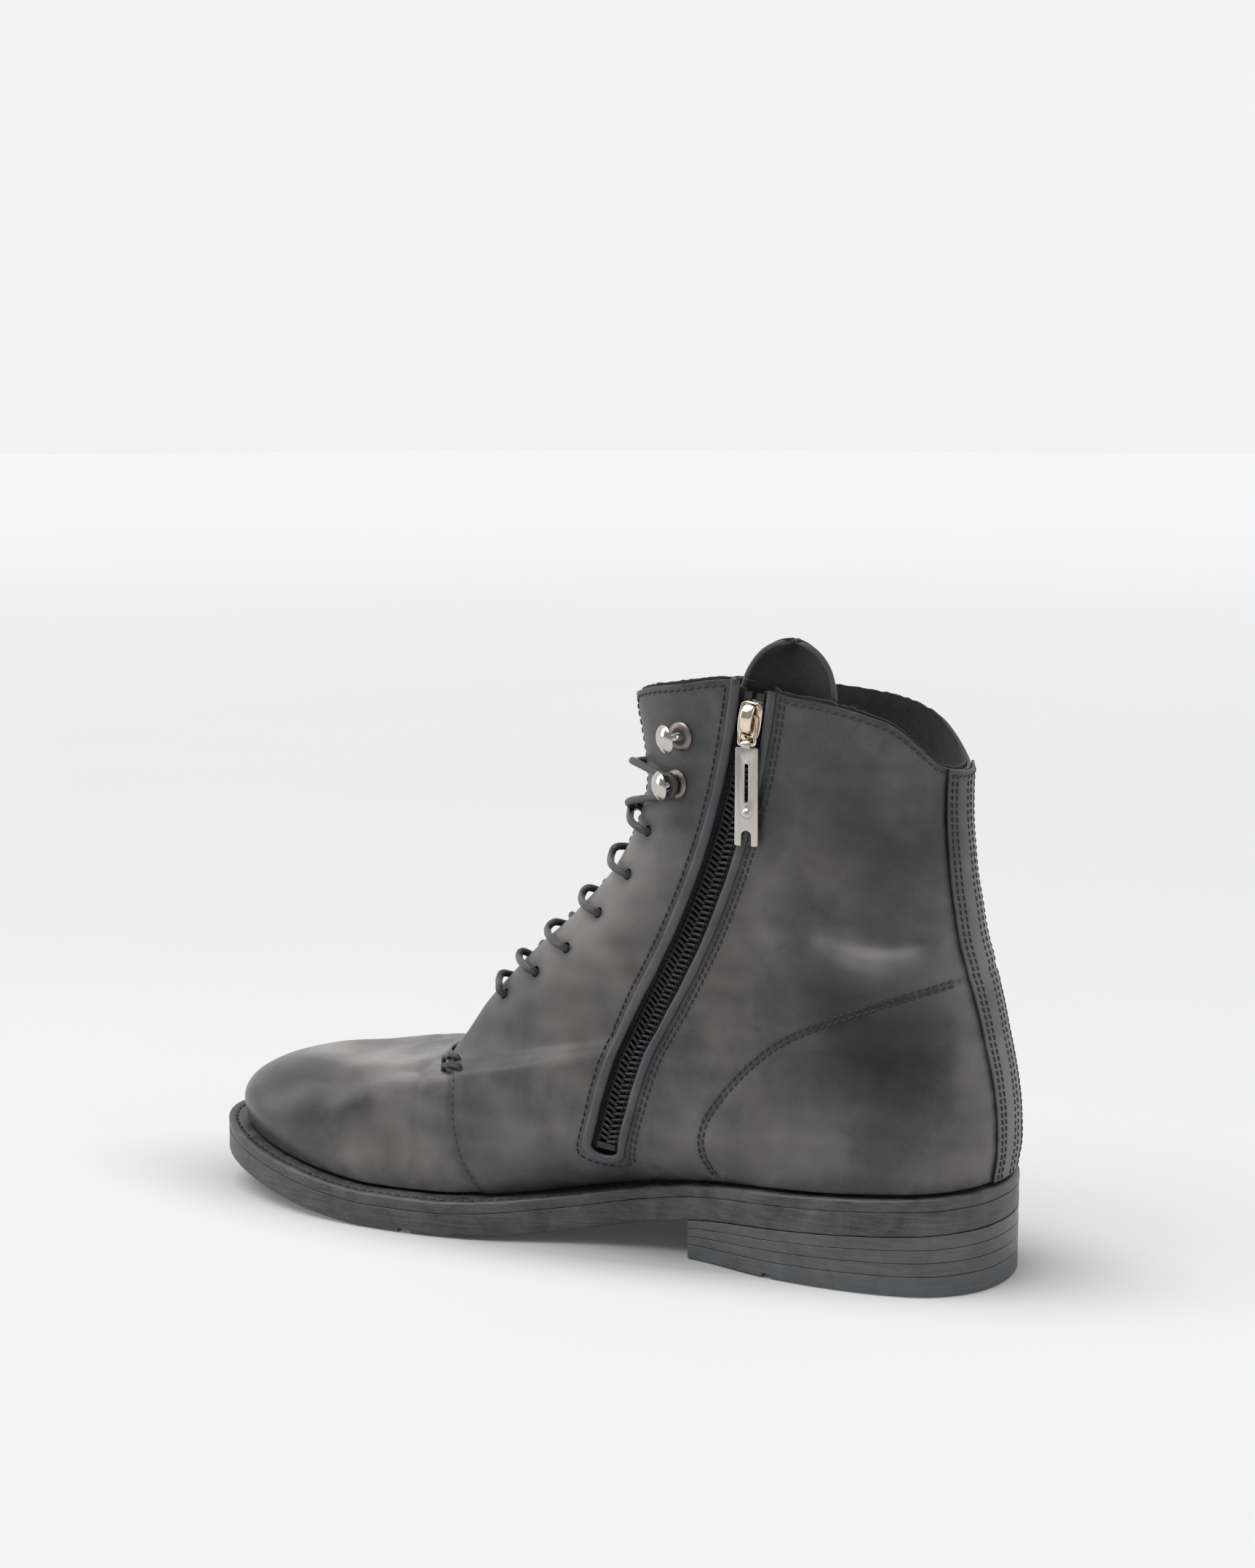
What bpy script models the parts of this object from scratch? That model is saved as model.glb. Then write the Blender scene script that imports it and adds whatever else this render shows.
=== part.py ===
"""A right-foot lace-up ankle boot: welted leather sole, stacked heel, side zip, speed hooks and lace.

Lengths in the tables below are millimetres on the last: y runs from the heel to the toe, x from the
medial side (negative) to the lateral side, z up from the ground. BOOT moves that frame so that the
model's origin is under the middle of the boot, and MM turns it into metres.
"""

import math

import bmesh
import bpy
import numpy as np
from mathutils import Matrix, Vector

MM = 0.001
ORIGIN = np.array((5.55, 151.37, 0.0))  # the point of the last's frame that becomes the origin

# ---------------------------------------------------------------- driving dimensions
HEEL_BACK = 3.5
TOE_TIP = 300.0
HEEL_BREAST = 108.0
SOLE_UNIT = 12.2  # welt and outsole together
WELT_THICK = 4.0
GAP = 0.3
MIDDLE = np.array((0.0, 150.0, 60.0))  # a place inside the boot, which every skin faces away from
TOP_LIFT_FRONT, TOP_LIFT_BACK = 5.0, 7.4
LEATHER = 1.4
LINING = 0.8

# The sole's edge in plan, from the back round the medial side to the toe and back.
OUTLINE = (
    (0, 3.5), (-19, 8), (-32, 22), (-36.5, 46), (-34.5, 76), (-26, 110), (-28, 145), (-38, 182),
    (-41, 212), (-38, 245), (-28, 274), (-14, 293), (3, 300), (20, 295), (36, 278), (48.5, 245),
    (52, 205), (47, 165), (38, 125), (35, 90), (36, 46), (32, 22), (19, 8),
)
# Height of the seat, the plane that the upper stands on, along the boot.
SEAT = (
    (0, 34.0), (50, 30.5), (103, 26.0), (125, 22.3), (150, 17.2), (180, 13.2), (196, SOLE_UNIT),
    (226, SOLE_UNIT), (246, 14.2), (270, 18.2), (300, 25.5),
)
# Rings of the upper from the feather edge to the collar: share of the height, back point y z, front
# point y z, half-width at the heel, at the ball medial and lateral, round-off at the back and front,
# how far the sides droop below the ridge, and the power that makes the front round (0.5) or blunt.
RINGS = (
    (0.06, 4.2, 46.0, 293.5, 34.0, 35.0, 34.5, 45.0, 36, 66, 0.0, 0.50),
    (0.16, 5.2, 63.0, 283.0, 43.5, 34.5, 33.5, 43.5, 38, 84, 0.0, 0.50),
    (0.27, 8.0, 79.0, 262.0, 50.0, 32.5, 31.0, 37.0, 42, 92, 2.6, 0.49),
    (0.38, 11.5, 95.0, 234.0, 51.5, 31.4, 28.2, 30.5, 46, 100, 2.4, 0.46),
    (0.48, 15.5, 109.0, 209.0, 57.0, 30.8, 27.8, 27.5, 48, 88, 1.6, 0.43),
    (0.58, 18.5, 123.0, 193.0, 76.0, 30.4, 29.0, 27.0, 46, 80, 0.8, 0.42),
    (0.68, 20.5, 137.0, 174.5, 95.5, 30.2, 30.3, 27.5, 46, 76, 0.0, 0.42),
    (0.78, 21.5, 149.0, 156.0, 112.5, 29.9, 30.3, 28.5, 44, 70, 0.0, 0.42),
    (0.87, 21.8, 158.0, 139.0, 134.0, 29.7, 30.1, 29.0, 42, 56, 0.0, 0.42),
    (0.93, 21.8, 162.5, 131.0, 156.0, 29.5, 29.8, 28.5, 40, 46, 0.0, 0.42),
    (1.00, 21.5, 167.0, 135.0, 187.0, 29.4, 29.6, 28.0, 38, 42, 0.0, 0.42),
)
# Height of the collar's edge along the boot, medial and lateral.
COLLAR = {
    -1: ((21.5, 167), (26, 170), (31, 176), (37, 182), (46, 186), (60, 189.5), (74, 191.5),
         (84, 195), (94, 195.5), (110, 193), (122, 191), (135, 187)),
    1: ((21.5, 167), (26, 169.5), (31, 174), (37, 179), (46, 183), (60, 186), (80, 188), (110, 189),
        (135, 187)),
}
# Front edge of a quarter below the throat: share of the height and y.
QUARTER_EDGE = (
    (0.0, 180), (0.03, 186), (0.06, 190), (0.11, 193), (0.16, 194), (0.27, 195), (0.38, 199), (0.48, 204),
)
THROAT_HALF = 7.5  # the facings' edges lie this far from the middle
THROAT_START = 0.49
STRIP_HALF = 11.5  # half-width of the back strip
OVERLAP = 8.0  # how far the vamp runs under the quarters

# Zip: an arc that the slider follows, then a tail that bends back to the bottom of the slot.
ZIP_TOP = (84.0, 191.0)
ZIP_PLANE = -26.9  # x of the chain's middle along the arc
ZIP_RADIUS = 270.0
ZIP_LEAN = math.radians(6.5)  # the chain's lean from upright at its top
ZIP_ARC = math.radians(21.3)
ZIP_TAIL = ((120.5, 82.5), (126.6, 69.5), (131.0, 54.0), (134.6, 35.5))
ZIP_RECESS = 2.7  # the chain's middle below the leather's face along the tail
COIL_OFFSET, COIL_RADIUS = 2.1, 1.3
TAPE_INNER, TAPE_OUTER, TAPE_THICK = 3.75, 11.0, 0.7
ROLL_RADIUS, ROLL_OFFSET, ROLL_HEIGHT = 1.45, 5.95, 2.4
SLOT_HALF = 8.0
SLIDER_AT = 8.5  # the slider's middle below the chain's top
SLIDER_HALF = 4.2
TAB_LENGTH, TAB_WIDTH, TAB_THICK = 32.0, 8.0, 1.2

EYELETS = ((181, 81), (167, 91), (154, 101), (142, 114), (131, 128), (124, 143))  # y and z
HOOKS = ((112, 160), (110, 176))
EYELET_HOLE = 3.0
LACE_RADIUS = 1.25
NAILS = ((-18, 34), (18, 34), (0, 22), (-17, 72), (17, 72))  # x and y

COLLECTION = None
CUTTERS = None
BOOT = None


# ---------------------------------------------------------------- curves in plain numbers
def even(line, count):
    """The line again, with this many points spaced evenly along it."""
    steps = np.linalg.norm(np.diff(line, axis=0), axis=1)
    along = np.concatenate([[0], np.cumsum(steps)])
    at = np.linspace(0, along[-1], count)
    return np.stack([np.interp(at, along, line[:, k]) for k in range(line.shape[1])], 1)


def through(points, pieces=12, closed=False):
    """A smooth (Catmull-Rom) line through the points."""
    p = np.array(points, float)
    if closed:
        p = np.concatenate([p[-1:], p, p[:2]])
    else:
        p = np.concatenate([2 * p[:1] - p[1:2], p, 2 * p[-1:] - p[-2:-1]])
    t = np.linspace(0, 1, pieces, endpoint=False)[:, None]
    line = []
    for a, b, c, d in zip(p[:-3], p[1:-2], p[2:-1], p[3:]):
        square, cube = t**2, t**3
        run = 2 * b + (c - a) * t + (2 * a - 5 * b + 4 * c - d) * square + (3 * b - a - 3 * c + d) * cube
        line.append(0.5 * run)
    line.append(p[-2:-1])
    return np.concatenate(line)


def thinned(line, within):
    """The line with the points dropped that lie this near the straight between those that stay."""
    if len(line) < 3:
        return line
    chord = line[-1] - line[0]
    away = line - line[0]
    length = np.linalg.norm(chord)
    if length > 0:
        along = chord / length
        away = away - np.outer(away @ along, along)
    far = np.linalg.norm(away, axis=1)
    k = int(far.argmax())
    if far[k] <= within:
        return line[[0, -1]]
    return np.concatenate([thinned(line[: k + 1], within)[:-1], thinned(line[k:], within)])


def smooth(x, table):
    """A smooth curve through the (x, y) pairs of a table."""
    xs, ys = np.array(table, float).T
    slopes = np.gradient(ys, xs)
    x = np.clip(x, xs[0], xs[-1])
    i = np.clip(np.searchsorted(xs, x) - 1, 0, len(xs) - 2)
    h = xs[i + 1] - xs[i]
    t = (x - xs[i]) / h
    return hermite(t, h, ys[i], ys[i + 1], slopes[i], slopes[i + 1])


def hermite(t, h, a, b, slope_a, slope_b):
    return (
        (2 * t**3 - 3 * t**2 + 1) * a
        + (t**3 - 2 * t**2 + t) * h * slope_a
        + (3 * t**2 - 2 * t**3) * b
        + (t**3 - t**2) * h * slope_b
    )


def ease(x, low, high):
    t = np.clip((np.asarray(x, float) - low) / (high - low), 0, 1)
    return t * t * (3 - 2 * t)


def seat(y):
    flat = (np.asarray(y) > 196) & (np.asarray(y) < 226)
    return np.where(flat, SOLE_UNIT, np.maximum(smooth(y, SEAT), SOLE_UNIT))


# ---------------------------------------------------------------- the sole's outline
def outline(inset=0.0, forefoot_inset=None, count=240):
    """The sole's edge moved inwards; the second inset applies in front of the waist."""
    line = even(through(OUTLINE, closed=True), count + 1)[:-1]
    along = np.roll(line, -1, 0) - np.roll(line, 1, 0)
    inwards = np.stack([along[:, 1], -along[:, 0]], 1) / np.linalg.norm(along, axis=1)[:, None]
    if inwards[0, 1] < 0:
        inwards = -inwards
    front = inset if forefoot_inset is None else forefoot_inset
    step = inset + (front - inset) * ease(line[:, 1], 95, 155)
    return line + inwards * step[:, None]


def halves(line):
    """A closed outline as its medial and lateral sides, each from the back to the front."""
    back, front = int(np.argmin(line[:, 1])), int(np.argmax(line[:, 1]))
    turned = np.roll(line, -back, 0)
    k = (front - back) % len(line)
    one, two = turned[: k + 1], np.concatenate([turned[k:], turned[:1]])[::-1]
    return (one, two) if one[:, 0].mean() < two[:, 0].mean() else (two, one)


# ---------------------------------------------------------------- the upper's surface
RING_POINTS = 160


def ring_side(row, side):
    """One side of a ring, from the back to the front."""
    share, yb, zb, yf, zf, heel, medial, lateral, round_back, round_front, droop, blunt = row
    ball = medial if side < 0 else lateral
    y = yb + (yf - yb) * (0.5 - 0.5 * np.cos(math.pi * np.linspace(0, 1, 400)))
    s = (y - yb) / (yf - yb)
    mix = ease(s, 0.42, 0.76)
    half = heel * (1 - mix) + ball * mix
    back = np.clip(1 - (y - yb) / round_back, 0, 1)
    front = np.clip(1 - (yf - y) / (round_front * (0.86 if side < 0 else 1.0)), 0, 1)
    across = (1 - back**2.2) ** 0.5 * (1 - front**2.1) ** blunt
    lean = 3.0 * np.clip((y - 60) / 140, 0, 1.3) * np.clip((yf - 120) / 80, 0, 1)
    z = zb + (zf - zb) * s
    low = max(0.0, 1 - share / 0.34)
    z = z + low * (seat(y) - seat(yb) - (seat(yf) - seat(yb)) * s)
    high = max(0.0, (share - 0.62) / 0.38) ** 1.6
    z = z + high * (smooth(21.5 + s * 113.5, COLLAR[side]) - (167 + 20 * s))
    z = z - droop * across**2 * ease(s, 0.5, 0.8)
    return even(np.stack([side * half * across + lean, y, z], 1), RING_POINTS)


def make_rings():
    feather = [np.c_[p, seat(p[:, 1]) + 0.4] for p in halves(outline(2.2, 6.8, 720))]
    shares = [0.0] + [row[0] for row in RINGS]
    rings = {}
    for side, low in zip((-1, 1), feather):
        rings[side] = np.stack([even(low, RING_POINTS)] + [ring_side(row, side) for row in RINGS])
    for end in (0, -1):
        middle = (rings[-1][:, end] + rings[1][:, end]) / 2
        rings[-1][:, end] = rings[1][:, end] = middle
    return np.array(shares), rings


SHARES, RING = make_rings()


def rise(ring, j):
    """Slope of the surface across the rings at ring j, held down where two rings lie close together."""
    last = len(SHARES) - 1
    below, above = np.clip(j, 1, last), np.clip(j + 1, 1, last)
    before = (ring(below) - ring(below - 1)) / (SHARES[below] - SHARES[below - 1])[:, None]
    after = (ring(above) - ring(above - 1)) / (SHARES[above] - SHARES[above - 1])[:, None]
    slope = (before + after) / 2
    sizes = [np.linalg.norm(v, axis=1) for v in (before, after, slope)]
    most = 1.6 * np.minimum(sizes[0], sizes[1])
    return slope * np.minimum(1, most / np.maximum(sizes[2], 1e-9))[:, None]


def upper(u, w):
    """A point of the upper: u runs -1 medial front, 0 back, 1 lateral front; w from feather to collar."""
    u, w = np.broadcast_arrays(np.asarray(u, float), np.clip(np.asarray(w, float), 0, 1))
    out = np.zeros(u.shape + (3,))
    for side in (-1, 1):
        here = (u < 0) if side < 0 else (u >= 0)
        if not here.any():
            continue
        at = np.clip(np.abs(u[here]), 0, 1) * (RING_POINTS - 1)
        i = np.clip(at.astype(int), 0, RING_POINTS - 2)
        f = (at - i)[:, None]
        share = w[here]
        k = np.clip(np.searchsorted(SHARES, share) - 1, 0, len(SHARES) - 2)
        ring = lambda j: RING[side][j, i] * (1 - f) + RING[side][j, i + 1] * f
        h = (SHARES[k + 1] - SHARES[k])[:, None]
        t = (share - SHARES[k])[:, None] / h
        out[here] = hermite(t, h, ring(k), ring(k + 1), rise(ring, k), rise(ring, k + 1))
    return out


def normal(u, w):
    """The upper's outward normal."""
    u, w = np.broadcast_arrays(np.asarray(u, float), np.asarray(w, float))
    step = 0.012
    fold = lambda a: np.where(a > 1, a - 2, np.where(a < -1, a + 2, a))
    along = upper(fold(u + step), w) - upper(fold(u - step), w)
    up = upper(u, np.minimum(w + step, 1)) - upper(u, np.maximum(w - step, 0))
    n = np.cross(along, up)
    return n / np.linalg.norm(n, axis=-1)[..., None]


def skin(u, w, off):
    """The upper's point moved out along its normal."""
    return upper(u, w) + normal(u, w) * np.asarray(off, float)[..., None]


def u_at_y(side, w, y):
    """Where the ring w passes this y."""
    u = np.linspace(0, 1, 300)
    return side * np.interp(y, upper(side * np.maximum(u, 1e-6), np.full(300, w))[:, 1], u)


def u_at_x(side, w, half, front=True):
    """Where the ring w is this far from the middle, near the front or the back."""
    u = np.linspace(1, 0.55, 200) if front else np.linspace(1e-6, 0.45, 200)
    ring = upper(side * u, np.full(200, w))
    reach = np.maximum.accumulate(side * (ring[:, 0] - ring[0, 0]))
    return side * np.interp(half, reach, u)


LOOK_U, LOOK_W = np.meshgrid(np.linspace(0.02, 0.999, 120), np.linspace(0, 1, 120))
LOOK = {side: upper(side * LOOK_U, LOOK_W) for side in (-1, 1)}


def locate(side, y, z):
    """(u, w) of the point of one side that has this y and z, on the shaft."""
    spread = LOOK[side]
    best = np.hypot(spread[..., 1] - y, spread[..., 2] - z).argmin()
    u, w = LOOK_U.flat[best], LOOK_W.flat[best]
    for _ in range(6):
        p = upper(side * u, w)
        du = (upper(side * min(u + 1e-3, 1), w) - p)[1:] / 1e-3
        dw = (p - upper(side * u, max(w - 1e-3, 0)))[1:] / 1e-3
        move = np.linalg.lstsq(np.stack([du, dw], 1), np.array([y, z]) - p[1:], rcond=None)[0]
        u, w = np.clip(u + move[0], 0.01, 0.999), np.clip(w + move[1], 0.0, 1.0)
    return side * u, w


def quarter_front(side, w):
    """u of a quarter's front edge on the ring w: the vamp seam, then the facing's edge."""
    if w < THROAT_START:
        return u_at_y(side, w, float(smooth(w, QUARTER_EDGE)))
    return u_at_x(side, w, THROAT_HALF)


# ---------------------------------------------------------------- making objects
def start():
    global COLLECTION, CUTTERS, BOOT
    for obj in list(bpy.data.objects):
        bpy.data.objects.remove(obj, do_unlink=True)
    COLLECTION = bpy.data.collections.new("lace_up_boot")
    CUTTERS = bpy.data.collections.new("cutters")
    bpy.context.scene.collection.children.link(COLLECTION)
    bpy.context.scene.collection.children.link(CUTTERS)
    BOOT = bpy.data.objects.new("boot", None)
    BOOT.location = Vector(-ORIGIN * MM)
    COLLECTION.objects.link(BOOT)


def material(name, colour, roughness, metallic=0.0):
    found = bpy.data.materials.get(name)
    if found:
        return found
    made = bpy.data.materials.new(name)
    made.use_nodes = True
    made.diffuse_color = (*colour, 1)
    shader = made.node_tree.nodes["Principled BSDF"]
    shader.inputs["Base Color"].default_value = (*colour, 1)
    shader.inputs["Roughness"].default_value = roughness
    shader.inputs["Metallic"].default_value = metallic
    return made


def looks():
    return {
        "upper": material("upper_leather", (0.055, 0.055, 0.057), 0.42),
        "lining": material("suede_lining", (0.02, 0.02, 0.02), 0.9),
        "sole": material("sole_leather", (0.035, 0.036, 0.038), 0.5),
        "rubber": material("lift_rubber", (0.045, 0.05, 0.055), 0.6),
        "board": material("insole_board", (0.35, 0.24, 0.14), 0.8),
        "cork": material("cork", (0.42, 0.28, 0.16), 0.9),
        "stiff": material("stiffener", (0.5, 0.45, 0.38), 0.8),
        "steel": material("steel", (0.55, 0.56, 0.58), 0.35, 1.0),
        "nickel": material("polished_nickel", (0.62, 0.59, 0.55), 0.12, 1.0),
        "brushed": material("brushed_nickel", (0.5, 0.49, 0.47), 0.35, 1.0),
        "tape": material("zip_tape", (0.015, 0.015, 0.017), 0.85),
        "coil": material("zip_coil", (0.02, 0.02, 0.022), 0.45),
        "lace": material("waxed_lace", (0.03, 0.03, 0.032), 0.5),
        "thread": material("thread", (0.02, 0.02, 0.022), 0.6),
    }


def add(name, mesh, finish, cutter=False):
    """Makes the object of a mesh whose points are millimetres in the last's frame."""
    obj = bpy.data.objects.new(name, mesh)
    (CUTTERS if cutter else COLLECTION).objects.link(obj)
    obj.parent = BOOT
    if cutter:
        obj.hide_render = True
        obj.display_type = "WIRE"
    else:
        mesh.materials.append(finish)
    return obj


def mesh_from(name, points, faces, outward=True):
    mesh = bpy.data.meshes.new(name)
    mesh.from_pydata([tuple(p) for p in np.asarray(points, float) * MM], [], [tuple(f) for f in faces])
    if outward:
        work = bmesh.new()
        work.from_mesh(mesh)
        bmesh.ops.remove_doubles(work, verts=work.verts, dist=1e-6)
        bmesh.ops.recalc_face_normals(work, faces=work.faces)
        work.to_mesh(mesh)
        work.free()
    return mesh


def tube_faces(rows, columns, close_rows=False):
    """Quads between closed loops of points, laid out loop after loop."""
    faces = []
    for i in range(rows if close_rows else rows - 1):
        a, b = i * columns, ((i + 1) % rows) * columns
        for j in range(columns):
            k = (j + 1) % columns
            faces.append((a + j, a + k, b + k, b + j))
    return faces


def loft(name, loops, finish, cutter=False, ring=False):
    """A closed solid through loops that have the same number of points each."""
    columns = len(loops[0])
    faces = tube_faces(len(loops), columns, ring)
    if not ring:
        last = (len(loops) - 1) * columns
        faces += [tuple(range(columns)), tuple(last + j for j in reversed(range(columns)))]
    return add(name, mesh_from(name, np.concatenate(loops), faces), finish, cutter)


def sheet(name, grid, thickness, finish):
    """A skin of leather: an open surface of grid points, made solid inwards by Solidify."""
    rows, columns = grid.shape[:2]
    faces = [
        (i * columns + j, i * columns + j + 1, (i + 1) * columns + j + 1, (i + 1) * columns + j)
        for i in range(rows - 1)
        for j in range(columns - 1)
    ]
    points = grid.reshape(-1, 3)
    corners = points[np.array(faces)]
    facing = np.cross(corners[:, 2] - corners[:, 0], corners[:, 3] - corners[:, 1])
    if (facing * (corners.mean(1) - MIDDLE)).sum() < 0:
        faces = [face[::-1] for face in faces]
    obj = add(name, mesh_from(name, points, faces, outward=False), finish)
    solid = obj.modifiers.new("thickness", "SOLIDIFY")
    solid.thickness = thickness * MM
    solid.offset = -1
    obj.data.shade_smooth()
    return obj


def cut(obj, cutter):
    change = obj.modifiers.new("cut", "BOOLEAN")
    change.operation = "DIFFERENCE"
    change.object = cutter


def tube(name, points, radius, finish, closed=False, sides=2):
    """A round cord or bar along the points, as a curve with a bevel."""
    data = bpy.data.curves.new(name, "CURVE")
    data.dimensions = "3D"
    data.bevel_depth = radius * MM
    data.bevel_resolution = sides
    data.use_fill_caps = True
    data.resolution_u = 1
    line = data.splines.new("POLY")
    line.points.add(len(points) - 1)
    for at, p in zip(line.points, points):
        at.co = (*(np.asarray(p, float) * MM), 1)
    line.use_cyclic_u = closed
    data.materials.append(finish)
    obj = bpy.data.objects.new(name, data)
    COLLECTION.objects.link(obj)
    obj.parent = BOOT
    return obj


def frame_at(axis, side_hint):
    """Unit vectors across, along and out for a piece whose outward direction is axis."""
    out = np.array(axis, float) / np.linalg.norm(axis)
    along = np.array(side_hint, float)
    along -= out * (along @ out)
    along /= np.linalg.norm(along)
    return np.cross(along, out), along, out


def turned(name, place, axis, profile, finish, steps=12, cutter=False):
    """A turned solid: profile pairs of radius and height run from the top down, turned about axis."""
    across, along, out = frame_at(axis, (0.31, 0.9, 0.2))
    angles = np.linspace(0, 2 * math.pi, steps, endpoint=False)
    loops = []
    for radius, height in profile:
        circle = np.cos(angles)[:, None] * across + np.sin(angles)[:, None] * along
        loops.append(np.asarray(place) + out * height + circle * radius)
    return loft(name, loops, finish, cutter)


# ---------------------------------------------------------------- sole
def stations(first, last, count=26):
    """Places along the boot, closer together at the round ends and on the edges of the flat tread."""
    y = first + (last - first) * (0.5 - 0.5 * np.cos(math.pi * np.linspace(0, 1, count)))
    fixed = [v for v in (196.0, 226.0) if first < v < last]
    y = [v for v in y if all(abs(v - f) > 2 for f in fixed)]
    return np.sort(np.array(y + fixed))


def slab(name, inset, first, last, low, high, finish, forefoot_inset=None, count=26):
    """A plate with the sole's outline between two heights that change along the boot."""
    medial, lateral = halves(outline(inset, forefoot_inset))
    tip = 0.25
    first = max(first, medial[0, 1] + tip)
    last = min(last, medial[-1, 1] - tip)
    loops = []
    for y in stations(first, last, count):
        left = np.interp(y, medial[:, 1], medial[:, 0])
        right = np.interp(y, lateral[:, 1], lateral[:, 0])
        bottom, top = float(low(y)), float(high(y))
        loops.append([(left, y, bottom), (left, y, top), (right, y, top), (right, y, bottom)])
    return loft(name, [np.array(loop) for loop in loops], finish)


def make_welt(finish):
    outer, inner = outline(count=60), outline(9.0, 11.5, count=60)
    loops = []
    for a, b in zip(outer, inner):
        za, zb = float(seat(a[1])), float(seat(b[1]))
        loops.append(
            np.array([(*a, za - WELT_THICK), (*a, za), (*b, zb), (*b, zb - WELT_THICK)])
        )
    return loft("welt", loops, finish, ring=True)


def top_lift_height(y):
    share = np.clip((HEEL_BREAST - y) / (HEEL_BREAST - HEEL_BACK), 0, 1)
    return TOP_LIFT_FRONT + (TOP_LIFT_BACK - TOP_LIFT_FRONT) * share


def lift_height(y, share):
    """A height in the heel stack: 0 at the top lift, 1 at the outsole."""
    bottom = top_lift_height(y)
    return bottom + (seat(y) - SOLE_UNIT - bottom) * share


def make_sole(use):
    make_welt(use["sole"])
    outsole = slab(
        "outsole", 0, 0, 400, lambda y: seat(y) - SOLE_UNIT, lambda y: seat(y) - WELT_THICK - GAP,
        use["sole"], count=30,
    )
    lifts = []
    for i in range(3):
        low, high = i / 3, (i + 1) / 3
        lifts.append(
            slab(
                f"heel_lift_{i + 1}", 0, 0, HEEL_BREAST,
                lambda y, share=low: lift_height(y, share) + GAP / 2,
                lambda y, share=high: lift_height(y, share) - GAP / 2,
                use["sole"], count=14,
            )
        )
    top_lift = slab(
        "top_lift", 0, 0, HEEL_BREAST, lambda y: 0.0, lambda y: top_lift_height(y) - GAP / 2,
        use["rubber"], count=14,
    )
    tread = box("tread_notch", (0, 207, 0), (140, 5.0, 3.2), cutter=True)
    cut(outsole, tread)
    lift_notch = box("lift_notch", (-36, 76, 0), (16, 3.2, 5.0), cutter=True)
    cut(top_lift, lift_notch)
    nail_holes = join_cutters(
        "nail_holes",
        [
            turned(f"nail_hole_{i}", (x, y, 3.0), (0, 0, 1), ((1.5, 40), (1.5, 0)), None, 8, True)
            for i, (x, y) in enumerate(NAILS)
        ],
    )
    for plate in (outsole, *lifts):
        cut(plate, nail_holes)
    for i, (x, y) in enumerate(NAILS):
        top = float(seat(y)) - WELT_THICK
        foot = float(lift_height(y, 0)) + 1.5
        profile = ((2.2, top + 0.9), (2.2, top), (1.1, top), (1.1, foot))
        turned(f"heel_nail_{i + 1}", (x, y, 0), (0, 0, 1), profile, use["steel"], 8)
    slab(
        "cork_filler", 10.5, 156, 280, lambda y: seat(y) - WELT_THICK, lambda y: seat(y) - GAP,
        use["cork"], forefoot_inset=13.0, count=14,
    )
    make_shank(use["steel"])
    slab(
        "insole_board", 8.6, 0, 400, lambda y: seat(y) + GAP, lambda y: seat(y) + 2.4, use["board"],
        forefoot_inset=13.2,
    )
    slab(
        "sock_liner", 9.0, 0, 400, lambda y: seat(y) + 2.7, lambda y: seat(y) + 4.0, use["lining"],
        forefoot_inset=13.6,
    )


def make_shank(finish):
    """A spring-steel strip under the waist, between the insole board and the outsole."""
    loops = []
    for y in np.linspace(84, 150, 9):
        half = 7.5 - 1.5 * math.cos(math.pi * (y - 84) / 66) ** 4
        z = float(seat(y)) - 2.8
        loops.append(np.array([(-half, y, z), (-half, y, z + 1.4), (half, y, z + 1.4), (half, y, z)]))
    return loft("shank", loops, finish)


def box(name, centre, size, finish=None, cutter=False):
    work = bmesh.new()
    bmesh.ops.create_cube(work, size=1.0)
    bmesh.ops.scale(work, vec=Vector(size) * MM, verts=work.verts)
    bmesh.ops.translate(work, vec=Vector(centre) * MM, verts=work.verts)
    mesh = bpy.data.meshes.new(name)
    work.to_mesh(mesh)
    work.free()
    return add(name, mesh, finish, cutter)


def join_cutters(name, pieces):
    """One cutter made of several closed shapes that don't touch."""
    work = bmesh.new()
    for piece in pieces:
        work.from_mesh(piece.data)
        bpy.data.objects.remove(piece, do_unlink=True)
    mesh = bpy.data.meshes.new(name)
    work.to_mesh(mesh)
    work.free()
    return add(name, mesh, None, cutter=True)


# ---------------------------------------------------------------- upper
ROWS = (0.004, 0.07, 0.14, 0.21, 0.28, 0.35, 0.42, 0.455, 0.49, 0.56, 0.65, 0.74, 0.84, 0.93, 1.0)
COLUMNS = 16


def seam_u(side, w):
    """u of the quarter's front edge, straight between its rows as the panel is."""
    return float(np.interp(w, ROWS, SEAM[side]))


def quarter_row(side, w):
    """u of the quarter's columns on the ring w."""
    back = side * 0.0025
    return back + (seam_u(side, w) - back) * np.linspace(0, 1, COLUMNS)


def lining_row(side, w):
    """The same for its lining: it stops behind the vamp's lining, and runs to the facing's edge above."""
    u = quarter_row(side, w)[:-1]
    if w > THROAT_START:
        u[-1] = u_at_x(side, w, THROAT_HALF + 1.5)
    return u


def panel(name, side, row, off, thickness, finish):
    """A skin of one side whose columns are row(side, w); off is its depth at (u, w)."""
    grid = []
    for w in ROWS:
        u = row(side, w)
        grid.append(skin(u, np.full(len(u), w), off(u, w)))
    return sheet(name, np.array(grid), thickness, finish)


def lining_depth(u, w):
    """Depth of the quarters' lining, which runs behind the counter at the heel."""
    return -3.65 - 0.7 * (1 - ease(np.abs(u), 0.3, 0.5)) * (1 - ease(w, 0.38, 0.5))


SEAM = {side: [quarter_front(side, w) for w in ROWS] for side in (-1, 1)}


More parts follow.
